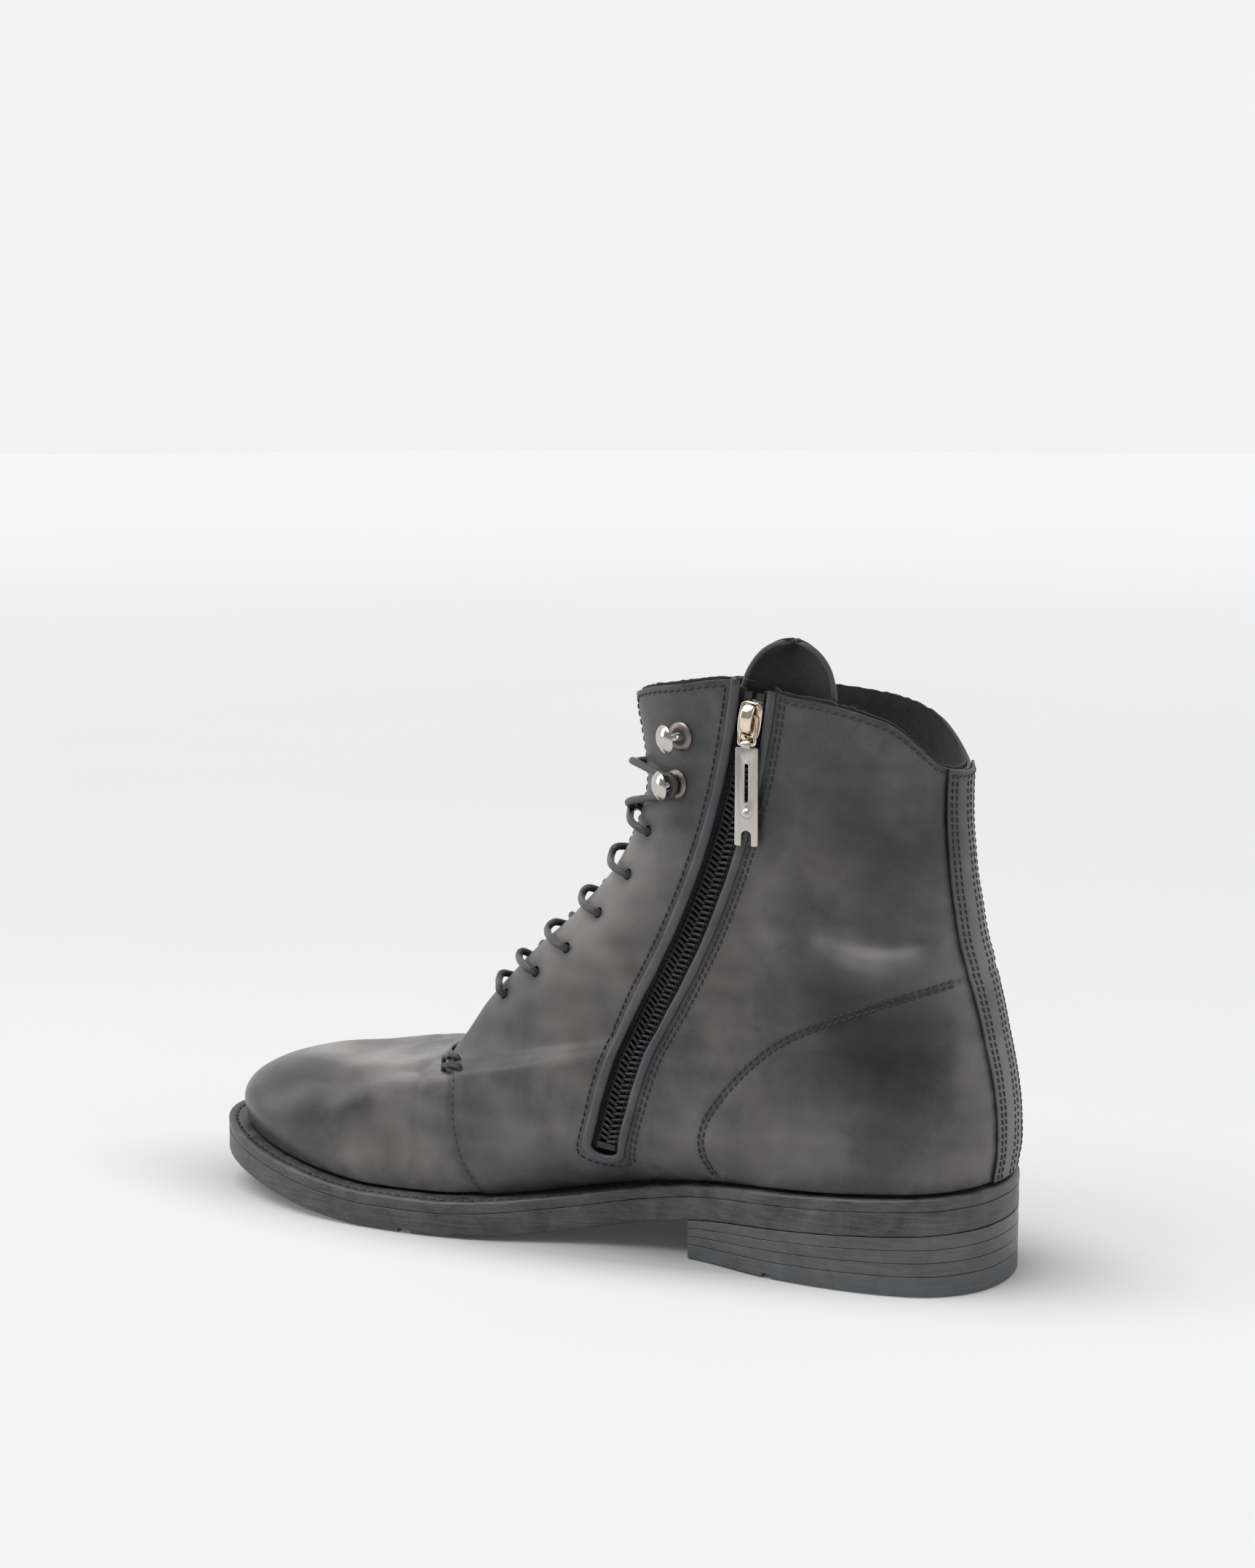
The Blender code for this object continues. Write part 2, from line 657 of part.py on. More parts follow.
def make_quarters(use):
    names = {-1: "medial", 1: "lateral"}
    slot = zip_cutter("zip_slot", SLOT_HALF, -9.0, 9.0)
    lining_slot = zip_cutter("lining_slot", 6.5, -9.0, 9.0)
    for side in (-1, 1):
        quarter = panel(
            f"quarter_{names[side]}", side, quarter_row, lambda u, w: 0.0 * u, LEATHER, use["upper"]
        )
        lining = panel(
            f"quarter_lining_{names[side]}", side, lining_row, lining_depth, LINING, use["lining"]
        )
        cut(lining, hole_cutter(f"lining_holes_{names[side]}", eyelet_places(side), EYELET_HOLE))
        cut(quarter, hole_cutter(f"eyelet_holes_{names[side]}", eyelet_places(side), EYELET_HOLE))
        cut(quarter, hole_cutter(f"hook_holes_{names[side]}", hook_places(side), 1.7))
        if side < 0:
            cut(quarter, slot)
            cut(lining, lining_slot)


def make_counter(use):
    top = ((0.0, 0.35), (0.12, 0.33), (0.24, 0.26), (0.36, 0.13))
    grid = []
    for share in np.linspace(0, 1, 7):
        sides = []
        for side in (-1, 1):
            u = quarter_row(side, 0.2)[:8]
            w = 0.02 + (smooth(np.abs(u), top) - 0.02) * share
            sides.append(skin(u, w, np.full(len(u), -2.3)))
        grid.append(np.concatenate([sides[0][:0:-1], sides[1]]))
    return sheet("heel_counter", np.array(grid), 0.9, use["stiff"])


def vamp_row(w, rear, columns):
    """u of points round the front of the ring w, from its medial rear end to its lateral one."""
    t = np.linspace(0, 1, columns // 2 + 1)
    medial = rear(-1, w) + (-1 - rear(-1, w)) * t
    lateral = rear(1, w) + (1 - rear(1, w)) * t
    return np.concatenate([medial, lateral[-2::-1]])


def tucked_row(w, columns):
    """The same for the vamp: u, and the depth, which drops where the vamp runs under the quarters."""
    u, off = [], []
    for side in (-1, 1):
        edge = seam_u(side, w)
        room = 1 - abs(edge)
        y = float(upper(edge, w)[1])
        rear = u_at_y(side, w, y - OVERLAP)
        inside = side * (abs(edge) + min(0.012, 0.3 * room))
        clear = side * (abs(edge) + min(0.05, 0.7 * room))
        rest = clear + (side - clear) * np.sin(np.linspace(0, math.pi / 2, columns // 2 - 2))
        u.append(np.array([rear, inside, *rest]))
        off.append(np.array([-2.05, -2.05, *np.zeros(len(rest))]))
    return np.concatenate([u[0], u[1][-2::-1]]), np.concatenate([off[0], off[1][-2::-1]])


def make_vamp(use):
    grid, lining = [], []
    for w in (*ROWS[:8], 0.478):
        u, off = tucked_row(w, 24)
        grid.append(skin(u, np.full(len(u), w), off))
        if w <= 0.42:
            lining.append(skin(u, np.full(len(u), w), np.full(len(u), -4.5)))
    sheet("vamp", np.array(grid), 1.15, use["upper"])
    sheet("vamp_lining", np.array(lining), 0.8, use["lining"])
    puff = []
    for w in (0.012, *ROWS[1:5]):
        u = vamp_row(w, lambda side, w: u_at_y(side, w, 252 + 10 * w), 14)
        puff.append(skin(u, np.full(len(u), w), np.full(len(u), -2.4)))
    sheet("toe_puff", np.array(puff), 1.0, use["stiff"])


def make_back_strip(use):
    grid = []
    for w in ROWS:
        ends = [u_at_x(side, w, STRIP_HALF, front=False) for side in (-1, 1)]
        u = np.concatenate([np.linspace(ends[0], -1e-4, 4), np.linspace(1e-4, ends[1], 4)])
        grid.append(skin(u, np.full(8, w), np.full(8, 1.45)))
    sheet("back_strip", np.array(grid), 1.0, use["upper"])


TONGUE_ROWS = (0.52, 0.58, 0.65, 0.73, 0.81, 0.88, 0.94, 0.985)


def make_tongue(use):
    grid = []
    for w in TONGUE_ROWS:
        half = 15.5 + 3.0 * float(ease(w, 0.6, 0.9))
        u = vamp_row(w, lambda side, w: u_at_x(side, w, half), 12)
        grid.append(skin(u, np.full(len(u), w), np.full(len(u), -9.5)))
    return sheet("tongue", np.array(grid), 1.4, use["upper"])


def eyelet_places(side):
    return [locate(side, y, z) for y, z in EYELETS]


def hook_places(side):
    return [locate(side, y, z) for y, z in HOOKS]


def hole_cutter(name, places, radius):
    pieces = []
    for i, (u, w) in enumerate(places):
        profile = ((radius, 4), (radius, -8))
        pieces.append(turned(f"hole_{i}", upper(u, w), normal(u, w), profile, None, 8, True))
    return join_cutters(name, pieces)


# ---------------------------------------------------------------- zip
ARC_LENGTH = ZIP_RADIUS * ZIP_ARC
ZIP_CENTRE = np.array(
    (ZIP_TOP[0] + ZIP_RADIUS * math.cos(ZIP_LEAN), ZIP_TOP[1] + ZIP_RADIUS * math.sin(ZIP_LEAN))
)


def arc_point(run):
    angle = ZIP_LEAN + run / ZIP_RADIUS
    return ZIP_CENTRE - ZIP_RADIUS * np.array((math.cos(angle), math.sin(angle)))


def make_zip_tail():
    start_run = [arc_point(ARC_LENGTH - 14), arc_point(ARC_LENGTH)]
    line = through([*start_run, *ZIP_TAIL], pieces=16)[16:]
    steps = np.linalg.norm(np.diff(line, axis=0), axis=1)
    return line, np.concatenate([[0], np.cumsum(steps)])


TAIL_LINE, TAIL_RUN = make_zip_tail()
ZIP_LENGTH = ARC_LENGTH + TAIL_RUN[-1]


def zip_yz(run):
    if run <= ARC_LENGTH:
        return arc_point(run)
    at = run - ARC_LENGTH
    if at > TAIL_RUN[-1]:
        end = TAIL_LINE[-1] - TAIL_LINE[-3]
        return TAIL_LINE[-1] + end / np.linalg.norm(end) * (at - TAIL_RUN[-1])
    return np.array([np.interp(at, TAIL_RUN, TAIL_LINE[:, k]) for k in (0, 1)])


def follow(run):
    """0 along the arc, where the chain lies in a plane, and 1 along the tail, where it follows the leather."""
    return float(ease(run, ARC_LENGTH - 6, ARC_LENGTH + 18))


def zip_frame(run):
    """Middle of the chain, and unit vectors to the heel side, down the chain and out of the boot."""
    y, z = zip_yz(run)
    ahead = zip_yz(run + 1.0) - zip_yz(run - 1.0)
    along = np.array((0.0, *(ahead / np.linalg.norm(ahead))))
    blend = follow(run)
    x, out = ZIP_PLANE, np.array((-1.0, 0.0, 0.0))
    if blend > 0:
        u, w = locate(-1, y, max(z, 30.0))
        x = x + blend * (upper(u, w)[0] + ZIP_RECESS - x)
        out = out + blend * (normal(u, w) - out)
    out -= along * (out @ along)
    out /= np.linalg.norm(out)
    return np.array((x, y, z)), np.cross(out, along), along, out


def zip_point(run, across=0.0, out=0.0):
    """A place given along the chain, to its heel side and out of the boot."""
    middle, heelward, _, outward = zip_frame(run)
    flat = middle + heelward * across + outward * out
    blend = follow(run)
    if blend == 0:
        return flat
    beside = middle + heelward * across
    u, w = locate(-1, beside[1], max(beside[2], 26.0))
    return flat * (1 - blend) + blend * skin(u, w, out - ZIP_RECESS)


def make_stations():
    """Where the leather's slot, the tapes, the rolled edge and the guard all have their corners."""
    arc = np.arange(12.0, ARC_LENGTH - 4, 12.0)
    tail = np.linspace(ARC_LENGTH - 2, ZIP_LENGTH - 1.6, 10)
    return np.concatenate([[0.0], arc, tail])


ZIP_STATIONS = make_stations()


def zip_runs(first, last):
    inside = ZIP_STATIONS[(ZIP_STATIONS > first + 0.6) & (ZIP_STATIONS < last - 0.6)]
    return np.concatenate([[first], inside, [last]])


def zip_strip(name, first, last, inner, outer, low, high, finish=None, cutter=False):
    """A strip along the chain between two distances across it and two heights."""
    loops = [
        np.array(
            [
                zip_point(run, inner, low), zip_point(run, inner, high),
                zip_point(run, outer, high), zip_point(run, outer, low),
            ]
        )
        for run in zip_runs(first, last)
    ]
    return loft(name, loops, finish, cutter)


def zip_cutter(name, half, low, high):
    return zip_strip(name, -14.0, ZIP_LENGTH + 4.5, -half, half, low, high, cutter=True)


def make_zip(use):
    for side, name in ((-1, "front"), (1, "rear")):
        ends = sorted((side * TAPE_INNER, side * TAPE_OUTER))
        zip_strip(
            f"zip_tape_{name}", -1.5, ZIP_LENGTH + 1.0, *ends, -TAPE_THICK / 2, TAPE_THICK / 2,
            use["tape"],
        )
        coil = [zip_point(run, side * COIL_OFFSET) for run in zip_runs(2.4, ZIP_LENGTH - 3.2)]
        tube(f"zip_coil_{name}", coil, COIL_RADIUS, use["coil"], sides=1)
        at = side * COIL_OFFSET
        zip_strip(
            f"zip_top_stop_{name}", -0.6, 1.9, at - 1.3, at + 1.3, -1.2, 1.2, use["brushed"],
        )
    zip_strip(
        "zip_bottom_stop", ZIP_LENGTH - 2.8, ZIP_LENGTH - 0.4, -3.4, 3.4, -1.2, 1.2, use["brushed"],
    )
    make_roll(use["upper"])
    make_guard(use["lining"])


def make_roll(finish):
    """The rolled leather edge that runs down one side of the slot, round its bottom and back up."""
    bottom = ZIP_LENGTH - 1.6
    down = [zip_point(run, -ROLL_OFFSET, ROLL_HEIGHT) for run in zip_runs(-0.5, bottom)]
    turn = []
    for angle in np.radians((35, 70, 110, 145)):
        run = bottom + 4.0 * math.sin(angle)
        turn.append(zip_point(run, -ROLL_OFFSET * math.cos(angle), ROLL_HEIGHT))
    up = [zip_point(run, ROLL_OFFSET, ROLL_HEIGHT) for run in zip_runs(0.5, bottom)[::-1]]
    tube("zip_roll", down + turn + up, ROLL_RADIUS, finish)


def make_guard(finish):
    """The flap behind the chain; its rounded top stands above the collar and curls."""
    grid = []
    for run in (-16.5, -14.5, -10.0, -5.0, *zip_runs(0.0, ZIP_LENGTH - 2)):
        widen = 1 - float(ease(run, 0, 40))
        front, rear = -8.5, 11.0 + 14.0 * widen
        if run < 0:
            squeeze = math.sqrt(max(0.04, 1 - (run / -17.5) ** 2))
            middle = (front + 2.5 + rear) / 2
            half = (rear - front - 2.5) / 2 * squeeze
            front, rear = middle - half, middle + half
        row = []
        for t in np.linspace(0, 1, 6):
            curl = 3.2 * math.sin(math.pi * t) * widen
            row.append(zip_point(run, front + (rear - front) * t, -3.8 - curl))
        grid.append(row)
    return sheet("zip_guard", np.array(grid), 1.2, finish)


def local_frame(run):
    """Turns (heelward, down the chain, outward) places about the chain's middle into the last's frame."""
    middle, heelward, along, out = zip_frame(run)
    return lambda p: middle + heelward * p[0] + along * p[1] + out * p[2]


def section(place, half, low, high, at):
    return np.array(
        [place((-half, at, low)), place((-half, at, high)), place((half, at, high)), place((half, at, low))]
    )


def unite(obj, helpers):
    for helper in helpers:
        helper.hide_render = True
        helper.display_type = "WIRE"
        join = obj.modifiers.new("join", "BOOLEAN")
        join.operation = "UNION"
        join.object = helper


def make_slider(use):
    place = local_frame(SLIDER_AT)
    plan = ((-6.3, 2.9), (-5.0, 4.0), (1.0, 4.2), (5.2, 3.6), (6.3, 2.8))
    slider = loft("zip_slider", [section(place, h, 1.65, 2.85, a) for a, h in plan], use["nickel"])
    lower = [section(place, h - 0.3, -2.5, -1.65, a) for a, h in plan]
    post = [section(place, 0.42, -2.2, 2.2, a) for a in (-5.0, -0.5)]
    path = through(((-5.0, 2.2), (-4.9, 4.4), (-3.6, 5.8), (-1.0, 6.3), (1.8, 5.7), (3.4, 4.2), (4.0, 2.2)), 2)
    arch = []
    for i, (a, n) in enumerate(path):
        ahead = path[min(i + 1, len(path) - 1)] - path[max(i - 1, 0)]
        ahead = ahead / np.linalg.norm(ahead)
        rise = np.array((-ahead[1], ahead[0])) * 0.55
        corners = ((-1.25, -1), (-1.25, 1), (1.25, 1), (1.25, -1))
        arch.append(np.array([place((h, a + k * rise[0], n + k * rise[1])) for h, k in corners]))
    helpers = [
        loft(name, loops, None, cutter=True)
        for name, loops in (("slider_lower", lower), ("slider_post", post), ("slider_bridge", arch))
    ]
    unite(slider, helpers)
    return place((0, -1.6, 4.15))


def make_pull(use, bridge):
    """The link through the slider's bridge, the tab that hangs on it and the tab's rivet."""
    lower = bridge + np.array((-1.3, 0.0, -8.8))
    loop = []
    for corner, start_angle in (((1, 0), 0), ((1, 1), 1), ((-1, 1), 2), ((-1, 0), 3)):
        centre = (bridge, lower)[corner[1]] + np.array((0, corner[0] * 1.95, (-0.8, 0.8)[corner[1]]))
        for step in (0.0, 0.33, 0.67, 1.0):
            angle = math.pi / 2 * (1 - start_angle - step)
            loop.append(centre + 0.8 * np.array((0, math.cos(angle), math.sin(angle))))
    tube("zip_link", loop, 0.6, use["brushed"], closed=True)
    barrel_axis = (0, 1, 0)
    tab_x = lower[0] + 0.35
    top, bottom = lower[2] - 0.9, lower[2] - 0.9 - TAB_LENGTH
    y = lower[1]
    tab = box("pull_tab", (tab_x, y, (top + bottom) / 2), (TAB_THICK, TAB_WIDTH, TAB_LENGTH), use["brushed"])
    barrel = turned(
        "tab_barrel", lower, barrel_axis, ((1.55, 1.5), (1.55, -1.5)), None, 12, cutter=True
    )
    unite(tab, [barrel])
    bore = turned("tab_bore", lower, barrel_axis, ((0.95, 1.9), (0.95, -1.9)), None, 12, cutter=True)
    slot = box("tab_slot", (tab_x, y, top - 11.5), (4, 1.2, 12.5), cutter=True)
    rivet_z = top - 21.5
    hole = turned("rivet_hole", (tab_x, y, rivet_z), (-1, 0, 0), ((1.2, 3), (1.2, -3)), None, 12, cutter=True)
    notch = box("tab_notch", (tab_x, y, bottom + 1.5), (4, 3.4, 4.0), cutter=True)
    notch_top = turned(
        "tab_notch_top", (tab_x, y, bottom + 3.4), (-1, 0, 0), ((1.9, 3), (1.9, -3)), None, 12, cutter=True
    )
    for cutter in (bore, slot, hole, notch, notch_top):
        cut(tab, cutter)
    face = TAB_THICK / 2
    profile = (
        (0.5, face + 1.0), (1.3, face + 0.8), (1.8, face + 0.3), (0.85, face + 0.3), (0.85, -face + 0.1),
    )
    turned("pull_rivet", (tab_x, y, rivet_z), (-1, 0, 0), profile, use["nickel"], 12)
    return lower


# ---------------------------------------------------------------- speed hooks and lace
HEAD_STAND, HEAD_SHIFT = 5.9, 2.2


def hook_frame(side, place):
    """Root of a hook on the leather, and unit vectors out, to the facing's edge and up."""
    u, w = place
    root, out = upper(u, w), normal(u, w)
    forward = upper(u + side * 0.01, w) - root
    forward -= out * (forward @ out)
    forward /= np.linalg.norm(forward)
    up = np.cross(out, forward) * -side
    return root, out, forward, up if up[2] > 0 else -up


def make_hooks(use):
    for side, name in ((-1, "medial"), (1, "lateral")):
        for place, level in zip(hook_places(side), ("lower", "upper")):
            root, out, forward, _ = hook_frame(side, place)
            base = turned(
                f"hook_{name}_{level}", root, out,
                ((4.4, 1.35), (4.8, 0.85), (1.3, 0.85), (1.3, -2.9)), use["nickel"], 10,
            )
            head_at = root + out * HEAD_STAND + forward * HEAD_SHIFT
            lean = out + forward * 0.4
            head = turned(
                "head", head_at, lean,
                ((1.4, 1.6), (3.2, 1.35), (4.5, 0.7), (5.0, 0.0), (4.6, -0.6), (1.4, -0.7)), None, 10, True,
            )
            stem = turned(
                "stem", root, out * HEAD_STAND + forward * HEAD_SHIFT,
                ((1.5, 6.1), (1.6, 1.0)), None, 8, True,
            )
            unite(base, [stem, head])
            washer_faces(f"hook_washer_{name}_{level}", root, out, use["steel"])


def washer_faces(name, root, out, finish):
    """A ring behind the leather round the hook's shank."""
    across, along, out = frame_at(out, (0.31, 0.9, 0.2))
    loops = []
    for angle in np.linspace(0, 2 * math.pi, 12, endpoint=False):
        ray = across * math.cos(angle) + along * math.sin(angle)
        corners = ((3.6, -2.4), (3.6, -1.7), (1.7, -1.7), (1.7, -2.4))
        loops.append(np.array([root + ray * r + out * h for r, h in corners]))
    return loft(name, loops, finish, ring=True)


def lace_half(start_side):
    """One half of the lace, from the middle of its lowest run to its end behind the facing."""
    holes = {side: eyelet_places(side) for side in (-1, 1)}
    crossing = -2.2 if start_side < 0 else -5.4
    points = []
    side = start_side
    hook_w = {s: hook_places(s)[0][1] for s in (-1, 1)}

    def at(which, w, half, off):
        return skin(u_at_x(which, w, half), w, off)

    for i in range(len(EYELETS)):
        u, w = holes[side][i]
        points += [skin(u, w, -6.6), skin(u, w, -2.6), skin(u, w, 1.9)]
        half = abs(float(upper(u, w)[0] - upper(side * 1.0, w)[0]))
        w_next = holes[-side][i + 1][1] if i + 1 < len(EYELETS) else hook_w[-side]
        step = w_next - w
        clear = (0.0, 0.7, 1.4)[max(i - 3, 0)]
        points.append(at(side, w + 0.24 * step, 0.62 * half + 4.6, 2.4 + clear))
        points.append(at(side, w + 0.48 * step, 9.6, 2.3 + clear))
        points.append(at(side, w + 0.66 * step, 6.6, 2.3 + 1.3 * clear))
        side = -side
        if i + 1 < len(EYELETS):
            points.append(skin(1.0, w + 0.76 * step, crossing))
            points.append(at(side, w + 0.87 * step, 7.0, -6.5))
    points.append(skin(1.0, w + 0.5 * step, 4.6 if start_side < 0 else 1.6))
    points += [at(side, w + 0.62 * step, 8.5, 3.4), at(side, w + 0.76 * step, 14.0, 4.8)]
    root, out, forward, up = hook_frame(side, hook_places(side)[0])
    centre = root + out * 3.1 + forward * 1.1
    for degrees in (-75, -120, -180, -240, -285):
        angle = math.radians(degrees)
        points.append(centre + 3.4 * (forward * math.cos(angle) + up * math.sin(angle)))
    w_over = hook_w[side] + 0.028
    over = ((15.0, 4.5), (10.5, 3.9), (7.0, 3.1), (4.4, -1.2), (6.2, -5.6), (10.5, -6.5), (15.0, -6.6), (19.0, -6.6))
    points += [at(side, w_over, half, off) for half, off in over]
    return points


def make_lace(use):
    first, second = lace_half(-1), lace_half(1)
    u, w = eyelet_places(-1)[0]
    middle = [skin(1.0, w, -6.2)]
    line = thinned(through([*first[::-1], *middle, *second], pieces=4), 0.4)
    tube("lace", line, LACE_RADIUS, use["lace"], sides=1)
    for name, points in (("medial", first), ("lateral", second)):
        end, ahead = np.array(points[-1]), np.array(points[-1]) - np.array(points[-2])
        ahead /= np.linalg.norm(ahead)
        other = "lateral" if (end[0] > 0) else "medial"
        tube(
            f"aglet_{other}", [end + ahead * 0.4, end + ahead * 7.0 + np.array((0, -2.0, 0))], 1.4,
            use["steel"],
        )


def make_bar_tacks(use):
    """The thick hand stitches that close the top of each vamp seam."""
    for side, name in ((-1, "medial"), (1, "lateral")):
        points = []
        for w, first, last in ((0.415, 4.5, -4.5), (0.40, -4.5, 4.5), (0.33, 4.5, -4.5), (0.315, -4.5, 4.5)):
            edge = float(smooth(w, QUARTER_EDGE))
            for t in (0.0, 0.5, 1.0):
                y = edge + first + (last - first) * t
                points.append(skin(u_at_y(side, w, y), w, 1.45 + 0.3 * (t == 0.5)))
        tube(f"bar_tack_{name}", points, 0.75, use["thread"], sides=1)


def pivot(name, place, pieces):
    """An empty on a joint's axis, which the pieces that turn about it hang from."""
    empty = bpy.data.objects.new(name, None)
    COLLECTION.objects.link(empty)
    empty.parent = BOOT
    empty.location = Vector(place) * MM
    for piece in pieces:
        obj = bpy.data.objects[piece]
        obj.parent = empty
        obj.location = -empty.location
    return empty


def main():
    start()
    use = looks()
    make_sole(use)
    make_quarters(use)
    make_vamp(use)
    make_counter(use)
    make_back_strip(use)
    make_tongue(use)
    make_zip(use)
    bridge = make_slider(use)
    lower_bar = make_pull(use, bridge)
    pivot("slider_arc_centre", (ZIP_PLANE, *ZIP_CENTRE), ["zip_slider"])
    pivot("link_pivot", bridge, ["zip_link"])
    pivot("pull_pivot", lower_bar, ["pull_tab", "pull_rivet"])
    pivot("tongue_pivot", skin(1.0, TONGUE_ROWS[0], -9.5), ["tongue"])
    make_hooks(use)
    make_lace(use)
    make_bar_tacks(use)


main()
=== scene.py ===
"""A black lace-up ankle boot with a side zip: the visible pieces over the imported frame.

Lengths in the tables are millimetres on the last: y runs from the heel to the toe, x from the medial
side (negative) to the lateral side, z up from the ground. metres() turns them into the frame's own.
"""

import math

import bmesh
import bpy
import numpy as np
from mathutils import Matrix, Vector
from mathutils.kdtree import KDTree

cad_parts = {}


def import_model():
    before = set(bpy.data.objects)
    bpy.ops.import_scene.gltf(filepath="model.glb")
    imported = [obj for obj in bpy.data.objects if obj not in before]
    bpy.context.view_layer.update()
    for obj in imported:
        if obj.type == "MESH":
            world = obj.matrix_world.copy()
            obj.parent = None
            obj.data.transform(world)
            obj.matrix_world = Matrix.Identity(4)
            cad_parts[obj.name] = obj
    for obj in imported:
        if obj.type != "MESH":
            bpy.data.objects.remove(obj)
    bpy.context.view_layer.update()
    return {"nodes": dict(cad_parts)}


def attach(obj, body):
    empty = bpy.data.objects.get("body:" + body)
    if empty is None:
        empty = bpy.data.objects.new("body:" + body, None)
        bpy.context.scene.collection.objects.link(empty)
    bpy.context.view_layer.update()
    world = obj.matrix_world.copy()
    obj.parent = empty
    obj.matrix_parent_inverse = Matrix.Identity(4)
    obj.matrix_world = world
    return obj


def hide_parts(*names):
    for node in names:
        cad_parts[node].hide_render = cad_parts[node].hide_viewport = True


MM = 0.001
ORIGIN = np.array((5.55, 151.37, 0.0))  # the point of the last's frame that becomes the origin


# ---------------------------------------------------------------- driving dimensions
HEEL_BACK = 3.5
HEEL_BREAST = 108.0
PAST_TOE = 400.0  # a plate that ends here isn't cut off
SOLE_UNIT = 12.2  # welt and outsole together
WELT_THICK = 4.0
TOP_LIFT_FRONT, TOP_LIFT_BACK = 5.0, 7.4
# The sole's edge in plan, from the back round the medial side to the toe and back.
OUTLINE = (
    (0, 3.5), (-19, 8), (-32, 22), (-36.5, 46), (-34.5, 76), (-26, 110), (-28, 145), (-38, 182),
    (-41, 212), (-38, 245), (-28, 274), (-14, 293), (3, 300), (20, 295), (36, 278), (48.5, 245),
    (52, 205), (47, 165), (38, 125), (35, 90), (36, 46), (32, 22), (19, 8),
)
# Height of the seat, the plane that the upper stands on, along the boot.
SEAT = (
    (0, 34.0), (50, 30.5), (103, 26.0), (125, 22.3), (150, 17.2), (180, 13.2), (196, SOLE_UNIT),
    (226, SOLE_UNIT), (246, 14.2), (270, 18.2), (300, 25.5),
)
# Rings of the upper from the feather edge to the collar: share of the height, back point y z, front
# point y z, half-width at the heel, at the ball medial and lateral, round-off at the back and front,
# how far the sides droop below the ridge, and the power that makes the front round (0.5) or blunt.
RINGS = (
    (0.06, 4.2, 46.0, 293.5, 34.0, 35.0, 34.5, 45.0, 36, 66, 0.0, 0.50),
    (0.16, 5.2, 63.0, 283.0, 43.5, 34.5, 33.5, 43.5, 38, 84, 0.0, 0.50),
    (0.27, 8.0, 79.0, 262.0, 50.0, 32.5, 31.0, 37.0, 42, 92, 2.6, 0.49),
    (0.38, 11.5, 95.0, 234.0, 51.5, 31.4, 28.2, 30.5, 46, 100, 2.4, 0.46),
    (0.48, 15.5, 109.0, 209.0, 57.0, 30.8, 27.8, 27.5, 48, 88, 1.6, 0.43),
    (0.58, 18.5, 123.0, 193.0, 76.0, 30.4, 29.0, 27.0, 46, 80, 0.8, 0.42),
    (0.68, 20.5, 137.0, 174.5, 95.5, 30.2, 30.3, 27.5, 46, 76, 0.0, 0.42),
    (0.78, 21.5, 149.0, 156.0, 112.5, 29.9, 30.3, 28.5, 44, 70, 0.0, 0.42),
    (0.87, 21.8, 158.0, 139.0, 134.0, 29.7, 30.1, 29.0, 42, 56, 0.0, 0.42),
    (0.93, 21.8, 162.5, 131.0, 156.0, 29.5, 29.8, 28.5, 40, 46, 0.0, 0.42),
    (1.00, 21.5, 167.0, 135.0, 187.0, 29.4, 29.6, 28.0, 38, 42, 0.0, 0.42),
)
# Height of the collar's edge along the boot, medial and lateral.
COLLAR = {
    -1: ((21.5, 167), (26, 170), (31, 176), (37, 182), (46, 186), (60, 189.5), (74, 191.5),
         (84, 195), (94, 195.5), (110, 193), (122, 191), (135, 187)),
    1: ((21.5, 167), (26, 169.5), (31, 174), (37, 179), (46, 183), (60, 186), (80, 188), (110, 189),
        (135, 187)),
}
# Front edge of a quarter below the throat: share of the height and y.
QUARTER_EDGE = (
    (0.0, 180), (0.03, 186), (0.06, 190), (0.11, 193), (0.16, 194), (0.27, 195), (0.38, 199), (0.48, 204),
)
THROAT_HALF = 7.5  # the facings' edges lie this far from the middle
THROAT_START = 0.49
STRIP_HALF = 11.5  # half-width of the back strip
OVERLAP = 8.0  # how far the vamp runs under the quarters
# Zip: an arc that the slider follows, then a tail that bends back to the bottom of the slot.
ZIP_TOP = (84.0, 191.0)
ZIP_PLANE = -26.9  # x of the chain's middle along the arc
ZIP_RADIUS = 270.0
ZIP_LEAN = math.radians(6.5)  # the chain's lean from upright at its top
ZIP_ARC = math.radians(21.3)
ZIP_TAIL = ((120.5, 82.5), (126.6, 69.5), (131.0, 54.0), (134.6, 35.5))
ZIP_RECESS = 2.7  # the chain's middle below the leather's face along the tail
SLIDER_AT = 8.5  # the slider's middle below the chain's top
EYELETS = ((181, 81), (167, 91), (154, 101), (142, 114), (131, 128), (124, 143))  # y and z
HOOKS = ((112, 160), (110, 176))


# ---------------------------------------------------------------- curves in plain numbers
def lengths(line):
    """How far along the line each of its points is."""
    return np.concatenate([[0], np.cumsum(np.linalg.norm(np.diff(line, axis=0), axis=1))])


def even(line, count):
    """The line again, with this many points spaced evenly along it."""
    along = lengths(line)
    at = np.linspace(0, along[-1], count)
    return np.stack([np.interp(at, along, line[:, k]) for k in range(line.shape[1])], 1)


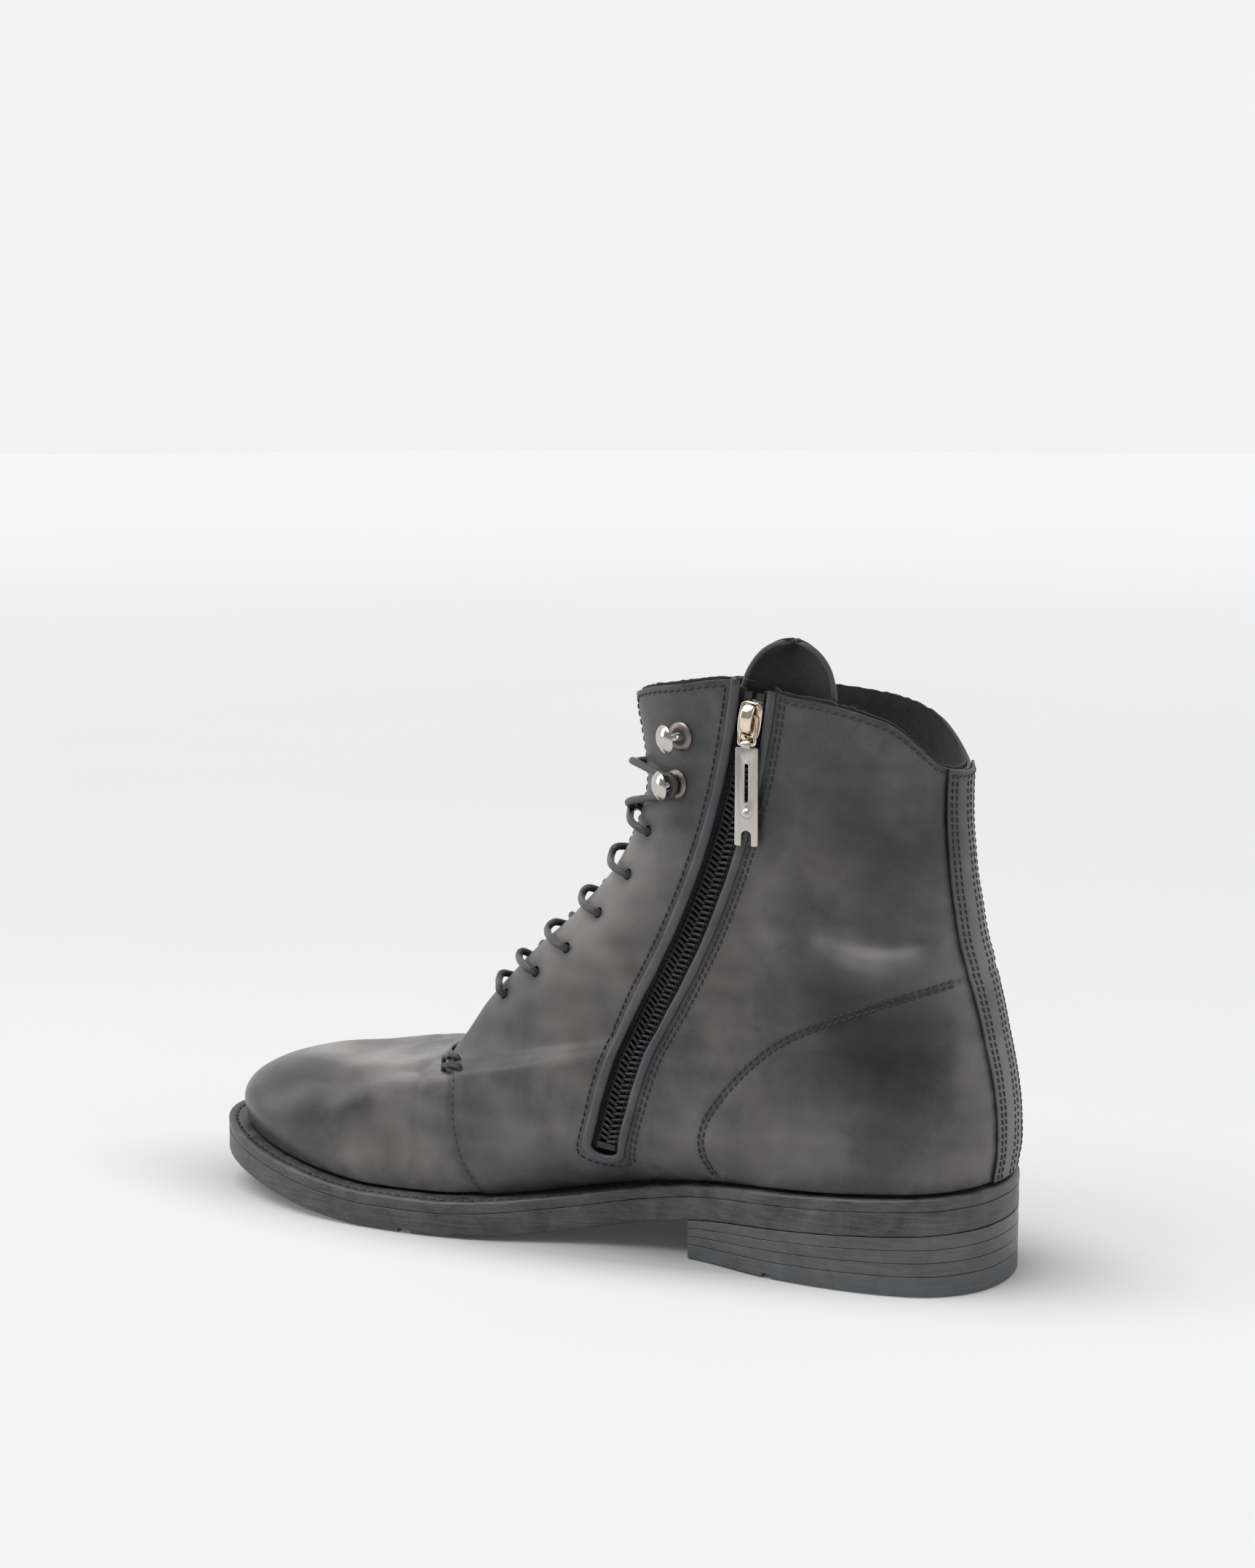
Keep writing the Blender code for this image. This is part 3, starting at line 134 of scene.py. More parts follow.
def through(points, pieces=12, closed=False):
    """A smooth (Catmull-Rom) line through the points."""
    p = np.array(points, float)
    if closed:
        p = np.concatenate([p[-1:], p, p[:2]])
    else:
        p = np.concatenate([2 * p[:1] - p[1:2], p, 2 * p[-1:] - p[-2:-1]])
    t = np.linspace(0, 1, pieces, endpoint=False)[:, None]
    line = []
    for a, b, c, d in zip(p[:-3], p[1:-2], p[2:-1], p[3:]):
        square, cube = t**2, t**3
        run = 2 * b + (c - a) * t + (2 * a - 5 * b + 4 * c - d) * square + (3 * b - a - 3 * c + d) * cube
        line.append(0.5 * run)
    line.append(p[-2:-1])
    return np.concatenate(line)


def smooth(x, table):
    """A smooth curve through the (x, y) pairs of a table."""
    xs, ys = np.array(table, float).T
    slopes = np.gradient(ys, xs)
    x = np.clip(x, xs[0], xs[-1])
    i = np.clip(np.searchsorted(xs, x) - 1, 0, len(xs) - 2)
    h = xs[i + 1] - xs[i]
    t = (x - xs[i]) / h
    return hermite(t, h, ys[i], ys[i + 1], slopes[i], slopes[i + 1])


def hermite(t, h, a, b, slope_a, slope_b):
    return (
        (2 * t**3 - 3 * t**2 + 1) * a
        + (t**3 - 2 * t**2 + t) * h * slope_a
        + (3 * t**2 - 2 * t**3) * b
        + (t**3 - t**2) * h * slope_b
    )


def ease(x, low, high):
    """0 below low, 1 above high, and a smooth step between."""
    t = np.clip((np.asarray(x, float) - low) / (high - low), 0, 1)
    return t * t * (3 - 2 * t)


def seat(y):
    """Height of the plane that the upper stands on."""
    flat = (np.asarray(y) > 196) & (np.asarray(y) < 226)
    return np.where(flat, SOLE_UNIT, np.maximum(smooth(y, SEAT), SOLE_UNIT))


# ---------------------------------------------------------------- the sole's outline
def outline(inset=0.0, forefoot_inset=None, count=240):
    """The sole's edge moved inwards; the second inset applies in front of the waist."""
    line = even(through(OUTLINE, closed=True), count + 1)[:-1]
    along = np.roll(line, -1, 0) - np.roll(line, 1, 0)
    inwards = np.stack([along[:, 1], -along[:, 0]], 1) / np.linalg.norm(along, axis=1)[:, None]
    if inwards[0, 1] < 0:
        inwards = -inwards
    front = inset if forefoot_inset is None else forefoot_inset
    step = inset + (front - inset) * ease(line[:, 1], 95, 155)
    return line + inwards * step[:, None]


def halves(line):
    """A closed outline as its medial and lateral sides, each from the back to the front."""
    back, front = int(np.argmin(line[:, 1])), int(np.argmax(line[:, 1]))
    turned = np.roll(line, -back, 0)
    k = (front - back) % len(line)
    one, two = turned[: k + 1], np.concatenate([turned[k:], turned[:1]])[::-1]
    return (one, two) if one[:, 0].mean() < two[:, 0].mean() else (two, one)


# ---------------------------------------------------------------- the upper's surface
RING_POINTS = 160


def ring_side(row, side):
    """One side of a ring, from the back to the front."""
    share, yb, zb, yf, zf, heel, medial, lateral, round_back, round_front, droop, blunt = row
    ball = medial if side < 0 else lateral
    y = yb + (yf - yb) * (0.5 - 0.5 * np.cos(math.pi * np.linspace(0, 1, 400)))
    s = (y - yb) / (yf - yb)
    mix = ease(s, 0.42, 0.76)
    half = heel * (1 - mix) + ball * mix
    back = np.clip(1 - (y - yb) / round_back, 0, 1)
    front = np.clip(1 - (yf - y) / (round_front * (0.86 if side < 0 else 1.0)), 0, 1)
    across = (1 - back**2.2) ** 0.5 * (1 - front**2.1) ** blunt
    lean = 3.0 * np.clip((y - 60) / 140, 0, 1.3) * np.clip((yf - 120) / 80, 0, 1)
    z = zb + (zf - zb) * s
    low = max(0.0, 1 - share / 0.34)
    z = z + low * (seat(y) - seat(yb) - (seat(yf) - seat(yb)) * s)
    high = max(0.0, (share - 0.62) / 0.38) ** 1.6
    z = z + high * (smooth(21.5 + s * 113.5, COLLAR[side]) - (167 + 20 * s))
    z = z - droop * across**2 * ease(s, 0.5, 0.8)
    return even(np.stack([side * half * across + lean, y, z], 1), RING_POINTS)


def make_rings():
    feather = [np.c_[p, seat(p[:, 1]) + 0.4] for p in halves(outline(2.2, 6.8, 720))]
    shares = [0.0] + [row[0] for row in RINGS]
    rings = {}
    for side, low in zip((-1, 1), feather):
        rings[side] = np.stack([even(low, RING_POINTS)] + [ring_side(row, side) for row in RINGS])
    for end in (0, -1):
        middle = (rings[-1][:, end] + rings[1][:, end]) / 2
        rings[-1][:, end] = rings[1][:, end] = middle
    return np.array(shares), rings


SHARES, RING = make_rings()


def rise(ring, j):
    """Slope of the surface across the rings at ring j, held down where two rings lie close together."""
    last = len(SHARES) - 1
    below, above = np.clip(j, 1, last), np.clip(j + 1, 1, last)
    before = (ring(below) - ring(below - 1)) / (SHARES[below] - SHARES[below - 1])[:, None]
    after = (ring(above) - ring(above - 1)) / (SHARES[above] - SHARES[above - 1])[:, None]
    slope = (before + after) / 2
    sizes = [np.linalg.norm(v, axis=1) for v in (before, after, slope)]
    most = 1.6 * np.minimum(sizes[0], sizes[1])
    return slope * np.minimum(1, most / np.maximum(sizes[2], 1e-9))[:, None]


def upper(u, w):
    """A point of the upper: u runs -1 medial front, 0 back, 1 lateral front; w from feather to collar."""
    u, w = np.broadcast_arrays(np.asarray(u, float), np.clip(np.asarray(w, float), 0, 1))
    out = np.zeros(u.shape + (3,))
    for side in (-1, 1):
        here = (u < 0) if side < 0 else (u >= 0)
        if not here.any():
            continue
        at = np.clip(np.abs(u[here]), 0, 1) * (RING_POINTS - 1)
        i = np.clip(at.astype(int), 0, RING_POINTS - 2)
        f = (at - i)[:, None]
        share = w[here]
        k = np.clip(np.searchsorted(SHARES, share) - 1, 0, len(SHARES) - 2)
        ring = lambda j: RING[side][j, i] * (1 - f) + RING[side][j, i + 1] * f
        h = (SHARES[k + 1] - SHARES[k])[:, None]
        t = (share - SHARES[k])[:, None] / h
        out[here] = hermite(t, h, ring(k), ring(k + 1), rise(ring, k), rise(ring, k + 1))
    return out


def normal(u, w):
    """The upper's outward normal."""
    u, w = np.broadcast_arrays(np.asarray(u, float), np.asarray(w, float))
    step = 0.012
    fold = lambda a: np.where(a > 1, a - 2, np.where(a < -1, a + 2, a))
    along = upper(fold(u + step), w) - upper(fold(u - step), w)
    up = upper(u, np.minimum(w + step, 1)) - upper(u, np.maximum(w - step, 0))
    n = np.cross(along, up)
    return unit(n)


def skin(u, w, off):
    """The upper's point moved out along its normal."""
    return upper(u, w) + normal(u, w) * np.asarray(off, float)[..., None]


def u_at_y(side, w, y):
    """Where the ring w passes this y."""
    u = np.linspace(0, 1, 300)
    return side * np.interp(y, upper(side * np.maximum(u, 1e-6), np.full(300, w))[:, 1], u)


def u_at_x(side, w, half, front=True):
    """Where the ring w is this far from the middle, near the front or the back."""
    u = np.linspace(1, 0.55, 200) if front else np.linspace(1e-6, 0.45, 200)
    ring = upper(side * u, np.full(200, w))
    reach = np.maximum.accumulate(side * (ring[:, 0] - ring[0, 0]))
    return side * np.interp(half, reach, u)


LOOK_U, LOOK_W = np.meshgrid(np.linspace(0.02, 0.999, 120), np.linspace(0, 1, 120))
LOOK = {side: upper(side * LOOK_U, LOOK_W) for side in (-1, 1)}


def locate(side, y, z):
    """(u, w) of the point of one side that has this y and z, on the shaft."""
    spread = LOOK[side]
    best = np.hypot(spread[..., 1] - y, spread[..., 2] - z).argmin()
    u, w = LOOK_U.flat[best], LOOK_W.flat[best]
    for _ in range(3):
        p = upper(side * u, w)
        du = (upper(side * min(u + 1e-3, 1), w) - p)[1:] / 1e-3
        dw = (p - upper(side * u, max(w - 1e-3, 0)))[1:] / 1e-3
        move = np.linalg.lstsq(np.stack([du, dw], 1), np.array([y, z]) - p[1:], rcond=None)[0]
        u, w = np.clip(u + move[0], 0.01, 0.999), np.clip(w + move[1], 0.0, 1.0)
    return side * u, w


def quarter_front(side, w):
    """u of a quarter's front edge on the ring w: the vamp seam, then the facing's edge."""
    if w < THROAT_START:
        return u_at_y(side, w, float(smooth(w, QUARTER_EDGE)))
    return u_at_x(side, w, THROAT_HALF)


def unit(v):
    """The vector, or each of the vectors, at length 1."""
    return v / np.linalg.norm(v, axis=-1, keepdims=True)


def frame_at(axis, side_hint):
    """Unit vectors across, along and out for a piece whose outward direction is axis."""
    out = np.array(axis, float) / np.linalg.norm(axis)
    along = np.array(side_hint, float)
    along -= out * (along @ out)
    along /= np.linalg.norm(along)
    return np.cross(along, out), along, out


def top_lift_height(y):
    share = np.clip((HEEL_BREAST - y) / (HEEL_BREAST - HEEL_BACK), 0, 1)
    return TOP_LIFT_FRONT + (TOP_LIFT_BACK - TOP_LIFT_FRONT) * share


def lift_height(y, share):
    """A height in the heel stack: 0 at the top lift, 1 at the outsole."""
    bottom = top_lift_height(y)
    return bottom + (seat(y) - SOLE_UNIT - bottom) * share


# ---------------------------------------------------------------- upper
def vamp_row(w, rear, columns):
    """u of points round the front of the ring w, from its medial rear end to its lateral one."""
    t = np.linspace(0, 1, columns // 2 + 1)
    medial = rear(-1, w) + (-1 - rear(-1, w)) * t
    lateral = rear(1, w) + (1 - rear(1, w)) * t
    return np.concatenate([medial, lateral[-2::-1]])


def eyelet_places(side):
    return [locate(side, y, z) for y, z in EYELETS]


def hook_places(side):
    return [locate(side, y, z) for y, z in HOOKS]


# ---------------------------------------------------------------- zip
ARC_LENGTH = ZIP_RADIUS * ZIP_ARC
ZIP_CENTRE = np.array(
    (ZIP_TOP[0] + ZIP_RADIUS * math.cos(ZIP_LEAN), ZIP_TOP[1] + ZIP_RADIUS * math.sin(ZIP_LEAN))
)


def arc_point(run):
    angle = ZIP_LEAN + run / ZIP_RADIUS
    return ZIP_CENTRE - ZIP_RADIUS * np.array((math.cos(angle), math.sin(angle)))


def make_zip_tail():
    start_run = [arc_point(ARC_LENGTH - 14), arc_point(ARC_LENGTH)]
    line = through([*start_run, *ZIP_TAIL], pieces=16)[16:]
    return line, lengths(line)


TAIL_LINE, TAIL_RUN = make_zip_tail()
ZIP_LENGTH = ARC_LENGTH + TAIL_RUN[-1]


def zip_yz(run):
    if run <= ARC_LENGTH:
        return arc_point(run)
    at = run - ARC_LENGTH
    if at > TAIL_RUN[-1]:
        end = TAIL_LINE[-1] - TAIL_LINE[-3]
        return TAIL_LINE[-1] + end / np.linalg.norm(end) * (at - TAIL_RUN[-1])
    return np.array([np.interp(at, TAIL_RUN, TAIL_LINE[:, k]) for k in (0, 1)])


def follow(run):
    """0 along the arc, where the chain lies in a plane, to 1 along the tail, which follows the leather."""
    return float(ease(run, ARC_LENGTH - 6, ARC_LENGTH + 18))


def zip_frame(run):
    """Middle of the chain, and unit vectors to the heel side, down the chain and out of the boot."""
    y, z = zip_yz(run)
    ahead = zip_yz(run + 1.0) - zip_yz(run - 1.0)
    along = np.array((0.0, *(ahead / np.linalg.norm(ahead))))
    blend = follow(run)
    x, out = ZIP_PLANE, np.array((-1.0, 0.0, 0.0))
    if blend > 0:
        u, w = locate(-1, y, max(z, 30.0))
        x = x + blend * (upper(u, w)[0] + ZIP_RECESS - x)
        out = out + blend * (normal(u, w) - out)
    out -= along * (out @ along)
    out /= np.linalg.norm(out)
    return np.array((x, y, z)), np.cross(out, along), along, out


def zip_point(run, across=0.0, out=0.0):
    """A place given along the chain, to its heel side and out of the boot."""
    middle, heelward, _, outward = zip_frame(run)
    flat = middle + heelward * across + outward * out
    blend = follow(run)
    if blend == 0:
        return flat
    beside = middle + heelward * across
    u, w = locate(-1, beside[1], max(beside[2], 26.0))
    return flat * (1 - blend) + blend * skin(u, w, out - ZIP_RECESS)


def local_frame(run):
    """Turns (heelward, down the chain, outward) places about the chain's middle into the last's frame."""
    middle, heelward, along, out = zip_frame(run)
    return lambda p: middle + heelward * p[0] + along * p[1] + out * p[2]


# ---------------------------------------------------------------- speed hooks and lace
HEAD_STAND, HEAD_SHIFT = 5.9, 2.2


def hook_frame(side, place):
    """Root of a hook on the leather, and unit vectors out, to the facing's edge and up."""
    u, w = place
    root, out = upper(u, w), normal(u, w)
    forward = upper(u + side * 0.01, w) - root
    forward -= out * (forward @ out)
    forward /= np.linalg.norm(forward)
    up = np.cross(out, forward) * -side
    return root, out, forward, up if up[2] > 0 else -up


def lace_half(start_side):
    """One half of the lace, from the middle of its lowest run to its end behind the facing."""
    holes = {side: eyelet_places(side) for side in (-1, 1)}
    crossing = -2.2 if start_side < 0 else -5.4
    points = []
    side = start_side
    hook_w = {s: hook_places(s)[0][1] for s in (-1, 1)}

    def at(which, w, half, off):
        return skin(u_at_x(which, w, half), w, off)

    for i in range(len(EYELETS)):
        u, w = holes[side][i]
        points += [skin(u, w, -6.6), skin(u, w, -2.6), skin(u, w, 1.9)]
        half = abs(float(upper(u, w)[0] - upper(side * 1.0, w)[0]))
        w_next = holes[-side][i + 1][1] if i + 1 < len(EYELETS) else hook_w[-side]
        step = w_next - w
        clear = (0.0, 0.7, 1.4)[max(i - 3, 0)]
        points.append(at(side, w + 0.24 * step, 0.62 * half + 4.6, 2.4 + clear))
        points.append(at(side, w + 0.48 * step, 9.6, 2.3 + clear))
        points.append(at(side, w + 0.66 * step, 6.6, 2.3 + 1.3 * clear))
        side = -side
        if i + 1 < len(EYELETS):
            points.append(skin(1.0, w + 0.76 * step, crossing))
            points.append(at(side, w + 0.87 * step, 7.0, -6.5))
    points.append(skin(1.0, w + 0.5 * step, 4.6 if start_side < 0 else 1.6))
    points += [at(side, w + 0.62 * step, 8.5, 3.4), at(side, w + 0.76 * step, 14.0, 4.8)]
    root, out, forward, up = hook_frame(side, hook_places(side)[0])
    centre = root + out * 3.1 + forward * 1.1
    for degrees in (-75, -120, -180, -240, -285):
        angle = math.radians(degrees)
        points.append(centre + 3.4 * (forward * math.cos(angle) + up * math.sin(angle)))
    w_over = hook_w[side] + 0.028
    over = (
        (15.0, 4.5), (10.5, 3.9), (7.0, 3.1), (4.4, -1.2),
        (6.2, -5.6), (10.5, -6.5), (15.0, -6.6), (19.0, -6.6),
    )
    points += [at(side, w_over, half, off) for half, off in over]
    return points


# ---------------------------------------------------------------- soft relief of the worn leather
WAVES = np.random.default_rng(7).normal(size=(24, 4))


def waves(p, size, first=0, count=6):
    """A smooth uneven field, about -1 to 1, whose bumps are about this many millimetres across."""
    total = 0.0
    for k in range(first, first + count):
        a, b, c, d = WAVES[k % len(WAVES)]
        way = np.array((a, b, c)) / math.sqrt(a * a + b * b + c * c)
        total = total + np.sin((p @ way) * 2 * math.pi / (size * (0.8 + 0.1 * (k % 5))) + 5 * d)
    return total / math.sqrt(count * 1.5)


def near_line(y, z, line):
    """Distance to a line in the side view, signed to be positive below it, and the share along it."""
    pieces = 39
    line = even(through(line, 8), pieces + 1)
    best = np.full(y.shape, 1e9)
    sign, share = np.ones(y.shape), np.zeros(y.shape)
    for i, (a, b) in enumerate(zip(line[:-1], line[1:])):
        ab = b - a
        t = np.clip(((y - a[0]) * ab[0] + (z - a[1]) * ab[1]) / (ab @ ab), 0, 1)
        dy, dz = y - a[0] - t * ab[0], z - a[1] - t * ab[1]
        d = np.hypot(dy, dz)
        nearer = d < best
        best = np.where(nearer, d, best)
        side = np.where(ab[0] * dz - ab[1] * dy < 0, 1.0, -1.0) * (1 if ab[0] > 0 else -1)
        sign, share = np.where(nearer, side, sign), np.where(nearer, (i + t) / pieces, share)
    return best, sign, share


def make_chain_table():
    """Places beside the chain's tail with no height and with 1 mm of it, on an even grid."""
    runs, across = np.linspace(ARC_LENGTH - 8, ZIP_LENGTH + 9, 26), np.linspace(-12, 12, 9)
    return runs, across, np.array([[[zip_point(r, a, h) for h in (0.0, 1.0)] for a in across] for r in runs])


CHAIN_RUNS, CHAIN_ACROSS, CHAIN = make_chain_table()


def chain_at(run, across=0.0, out=0.0):
    """zip_point, read from the table along the tail."""
    if run < ARC_LENGTH - 6.5 or abs(across) > 12:
        return zip_point(run, across, out)
    i = (min(run, CHAIN_RUNS[-1]) - CHAIN_RUNS[0]) / (CHAIN_RUNS[1] - CHAIN_RUNS[0])
    j = (across - CHAIN_ACROSS[0]) / (CHAIN_ACROSS[1] - CHAIN_ACROSS[0])
    a, b = min(int(i), len(CHAIN_RUNS) - 2), min(int(j), len(CHAIN_ACROSS) - 2)
    i, j = i - a, j - b
    cell = (
        CHAIN[a, b] * (1 - i) * (1 - j) + CHAIN[a + 1, b] * i * (1 - j)
        + CHAIN[a, b + 1] * (1 - i) * j + CHAIN[a + 1, b + 1] * i * j
    )
    return cell[0] + (cell[1] - cell[0]) * out


COUNTER = ((13, 102), (33, 96), (54, 88), (72, 79), (83, 70), (91, 61), (98, 50), (99, 39), (96, 29))
ZIP_LINE = np.array([zip_yz(r) for r in np.linspace(-10, ZIP_LENGTH + 3, 60)])
# Each crease: side, line, depth, half-width, and whether it is a step that sags over itself.
CREASES = (
    (-1, ((61, 116), (51, 111.5), (41, 110), (30, 111), (21, 115)), 2.1, 6.5, True),
    (-1, ((60, 168), (56, 152), (51, 136), (48, 121)), 0.7, 4.2, False),
    (-1, ((74, 158), (64, 142), (54, 125)), 0.55, 5.0, False),
    (-1, ((85, 104), (79, 96)), 0.45, 1.8, False),
    (-1, ((94, 112), (88, 98), (88, 86)), 0.3, 2.6, False),
    (-1, ((122, 66), (112, 55), (104, 50)), 0.3, 4.0, False),
    (-1, ((150, 96), (160, 80), (172, 70)), 0.35, 7.0, False),
    (1, ((66, 118), (52, 111), (38, 112), (26, 117)), 1.0, 7.0, True),
    (1, ((78, 165), (70, 148), (60, 131)), 0.7, 5.0, False),
    (1, ((110, 120), (100, 106), (92, 96)), 0.6, 5.0, False),
    (1, ((128, 112), (120, 92), (112, 78)), 0.5, 6.0, False),
    (1, ((150, 92), (160, 74), (168, 60)), 0.4, 7.0, False),
)


def relief(p):
    """How far the worn leather stands out from the smooth shape, at points on the last."""
    p = np.asarray(p, float)
    x, y, z = p[..., 0], p[..., 1], p[..., 2]
    out = 0.22 * waves(p, 46) + 0.10 * waves(p, 19, 6)
    for side, line, depth, width, step in CREASES:
        d, sign, share = near_line(y, z, line)
        ends = 0.0 if step else 0.08
        fade = np.sin(np.pi * np.clip(ends + (1 - 2 * ends) * share, 0, 1)) ** 0.6 * ease(side * x, 0, 9)
        on = np.exp(-((d / width) ** 2) * 0.5) * fade
        if step:
            out = out + depth * on * np.tanh(sign * d / 2.2)
        else:
            out = out - depth * (on - 0.4 * np.exp(-(((d - 1.9 * width) / width) ** 2)) * fade)
    d, _, _ = near_line(y, z, COUNTER)
    out = out - 0.28 * np.exp(-((d / 1.5) ** 2)) + 0.16 * np.exp(-(((d - 3.4) / 2.4) ** 2))
    # the dent behind the toe cap and the break lines over the ball
    dent = np.exp(-(((y - 247) / 9.0) ** 2)) * ease(z, 26, 42) * (1 - 0.5 * ease(x, 0, 30))
    out = out - 1.0 * dent + 0.35 * np.exp(-(((y - 228) / 8.0) ** 2)) * ease(z, 26, 44)
    for at, tilt, deep in ((213, 0.16, 0.34), (205, -0.12, 0.28), (221, 0.25, 0.2)):
        line = y - at - tilt * x - 1.2 * np.sin(x * 0.13 + at)
        out = out - deep * np.exp(-((line / 2.4) ** 2)) * ease(z, 22, 44)
    # nothing moves beside the zip, the holes and the hooks
    still = np.full(y.shape, 1e9)
    for a, b in ZIP_LINE[::2]:
        still = np.minimum(still, np.hypot(y - a, z - b) + 60 * (x > 0))
    keep = ease(still, 11, 22)
    still = np.full(y.shape, 1e9)
    for a, b in (*EYELETS, *HOOKS):
        still = np.minimum(still, np.hypot(y - a, z - b))
    return out * keep * ease(still, 6, 14)


def face(u, w, off=0.0):
    """A point of the worn leather."""
    u, w = np.broadcast_arrays(np.asarray(u, float), np.asarray(w, float))
    p, n = upper(u, w), normal(u, w)
    return p + n * (relief(p) + off)[..., None]


# ---------------------------------------------------------------- making pieces
def metres(points):
    """Points on the last, in millimetres, as the frame's own metres."""
    return (np.asarray(points, float).reshape(-1, 3) - ORIGIN) * MM


def link(name, data, finish=None):
    """An object in the scene that holds this mesh, light or camera."""
    obj = bpy.data.objects.new(name, data)
    bpy.context.scene.collection.objects.link(obj)
    if finish:
        data.materials.append(finish)
    return obj


def new_object(name, points, faces, finish=None):
    """A mesh object from points on the last."""
    mesh = bpy.data.meshes.new(name)
    mesh.from_pydata(metres(points).tolist(), [], [tuple(int(i) for i in f) for f in faces])
    return link(name, mesh, finish)


def shade(mesh, angle):
    """Shades the mesh smooth, but for edges sharper than this angle."""
    mesh.shade_smooth()
    mesh.set_sharp_from_angle(angle=math.radians(angle))


def settle(obj, angle=40):
    """Applies the modifiers and shades the mesh."""
    graph = bpy.context.evaluated_depsgraph_get()
    mesh = bpy.data.meshes.new_from_object(obj.evaluated_get(graph))
    obj.modifiers.clear()
    obj.data = mesh
    shade(mesh, angle)
    return obj


def cut(obj, *cutters):
    """Adds a Boolean difference for each cutter, which settle() applies."""
    for cutter in cutters:
        change = obj.modifiers.new("cut", "BOOLEAN")
        change.operation, change.object = "DIFFERENCE", cutter


def soften(obj, width, angle, clamp=True):
    """Adds a bevel of the edges sharper than this angle, which settle() applies."""
    soft = obj.modifiers.new("rim", "BEVEL")
    soft.width, soft.segments, soft.limit_method = width * MM, 2, "ANGLE"
    soft.angle_limit, soft.use_clamp_overlap = math.radians(angle), clamp


def outwards(obj, merge=True):
    """Turns the faces of a closed shape outwards, and may merge points that lie on each other."""
    work = bmesh.new()
    work.from_mesh(obj.data)
    if merge:
        bmesh.ops.remove_doubles(work, verts=work.verts, dist=1e-7)
    bmesh.ops.recalc_face_normals(work, faces=work.faces)
    work.to_mesh(obj.data)
    work.free()
    return obj


def place(obj, slot, body="boot", replaces=()):
    """Hangs the piece on its body and hides the CAD nodes it takes the place of. slot, its material slot, is
    not used.
    """
    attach(obj, body)
    if replaces:
        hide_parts(*replaces)
    return obj


def band(first, second, columns):
    """Quads between two closed rings, given by the number of each ring's first point."""
    rounds = [(j, (j + 1) % columns) for j in range(columns)]
    return [(first + j, first + k, second + k, second + j) for j, k in rounds]


def grid_faces(rows, columns, around=False):
    """Quads over a grid of points, whose rows may each close on themselves."""
    faces = []
    for i in range(rows - 1):
        quads = band(i * columns, (i + 1) * columns, columns)
        faces += quads if around else quads[:-1]
    return faces


def hide(name, grid, thickness, finish, rim=0.35, cutters=(), angle=40):
    """A skin of leather made solid inwards, with its rim rounded, then cut."""
    grid = np.asarray(grid)
    rows, columns = grid.shape[:2]
    points = grid.reshape(-1, 3)
    faces = np.array(grid_faces(rows, columns))
    corners = points[faces]
    facing = np.cross(corners[:, 2] - corners[:, 0], corners[:, 3] - corners[:, 1])
    if (facing * (corners.mean(1) - np.array((0.0, 150.0, 60.0)))).sum() < 0:
        faces = faces[:, ::-1]
    obj = new_object(name, points, faces, finish)
    solid = obj.modifiers.new("thickness", "SOLIDIFY")
    solid.thickness, solid.offset = thickness * MM, -1
    if rim:
        soften(obj, rim, 60, clamp=False)
    cut(obj, *cutters)
    return settle(obj, angle)


def solid_loops(name, loops, finish):
    """A closed solid through loops that have the same number of points each."""
    columns = len(loops[0])
    faces = grid_faces(len(loops), columns, True)
    last = (len(loops) - 1) * columns
    faces += [tuple(range(columns)), tuple(last + j for j in reversed(range(columns)))]
    return outwards(new_object(name, np.concatenate(loops), faces, finish))


def remove(*objects):
    for obj in objects:
        bpy.data.objects.remove(obj, do_unlink=True)


def join(name, objects, finish):
    """Several closed shapes as one piece."""
    work = bmesh.new()
    for obj in objects:
        work.from_mesh(obj.data)
    mesh = bpy.data.meshes.new(name)
    work.to_mesh(mesh)
    work.free()
    remove(*objects)
    return link(name, mesh, finish)


def frames(path):
    """Directions along a path, and two across it that turn as little as they can."""
    path = np.asarray(path, float)
    along = unit(np.gradient(path, axis=0))
    side = np.cross(along[0], (0.31, 0.2, 0.93))
    sides = []
    for t in along:
        side = side - t * (side @ t)
        side = side / np.linalg.norm(side)
        sides.append(side)
    sides = np.array(sides)
    return along, sides, np.cross(along, sides)


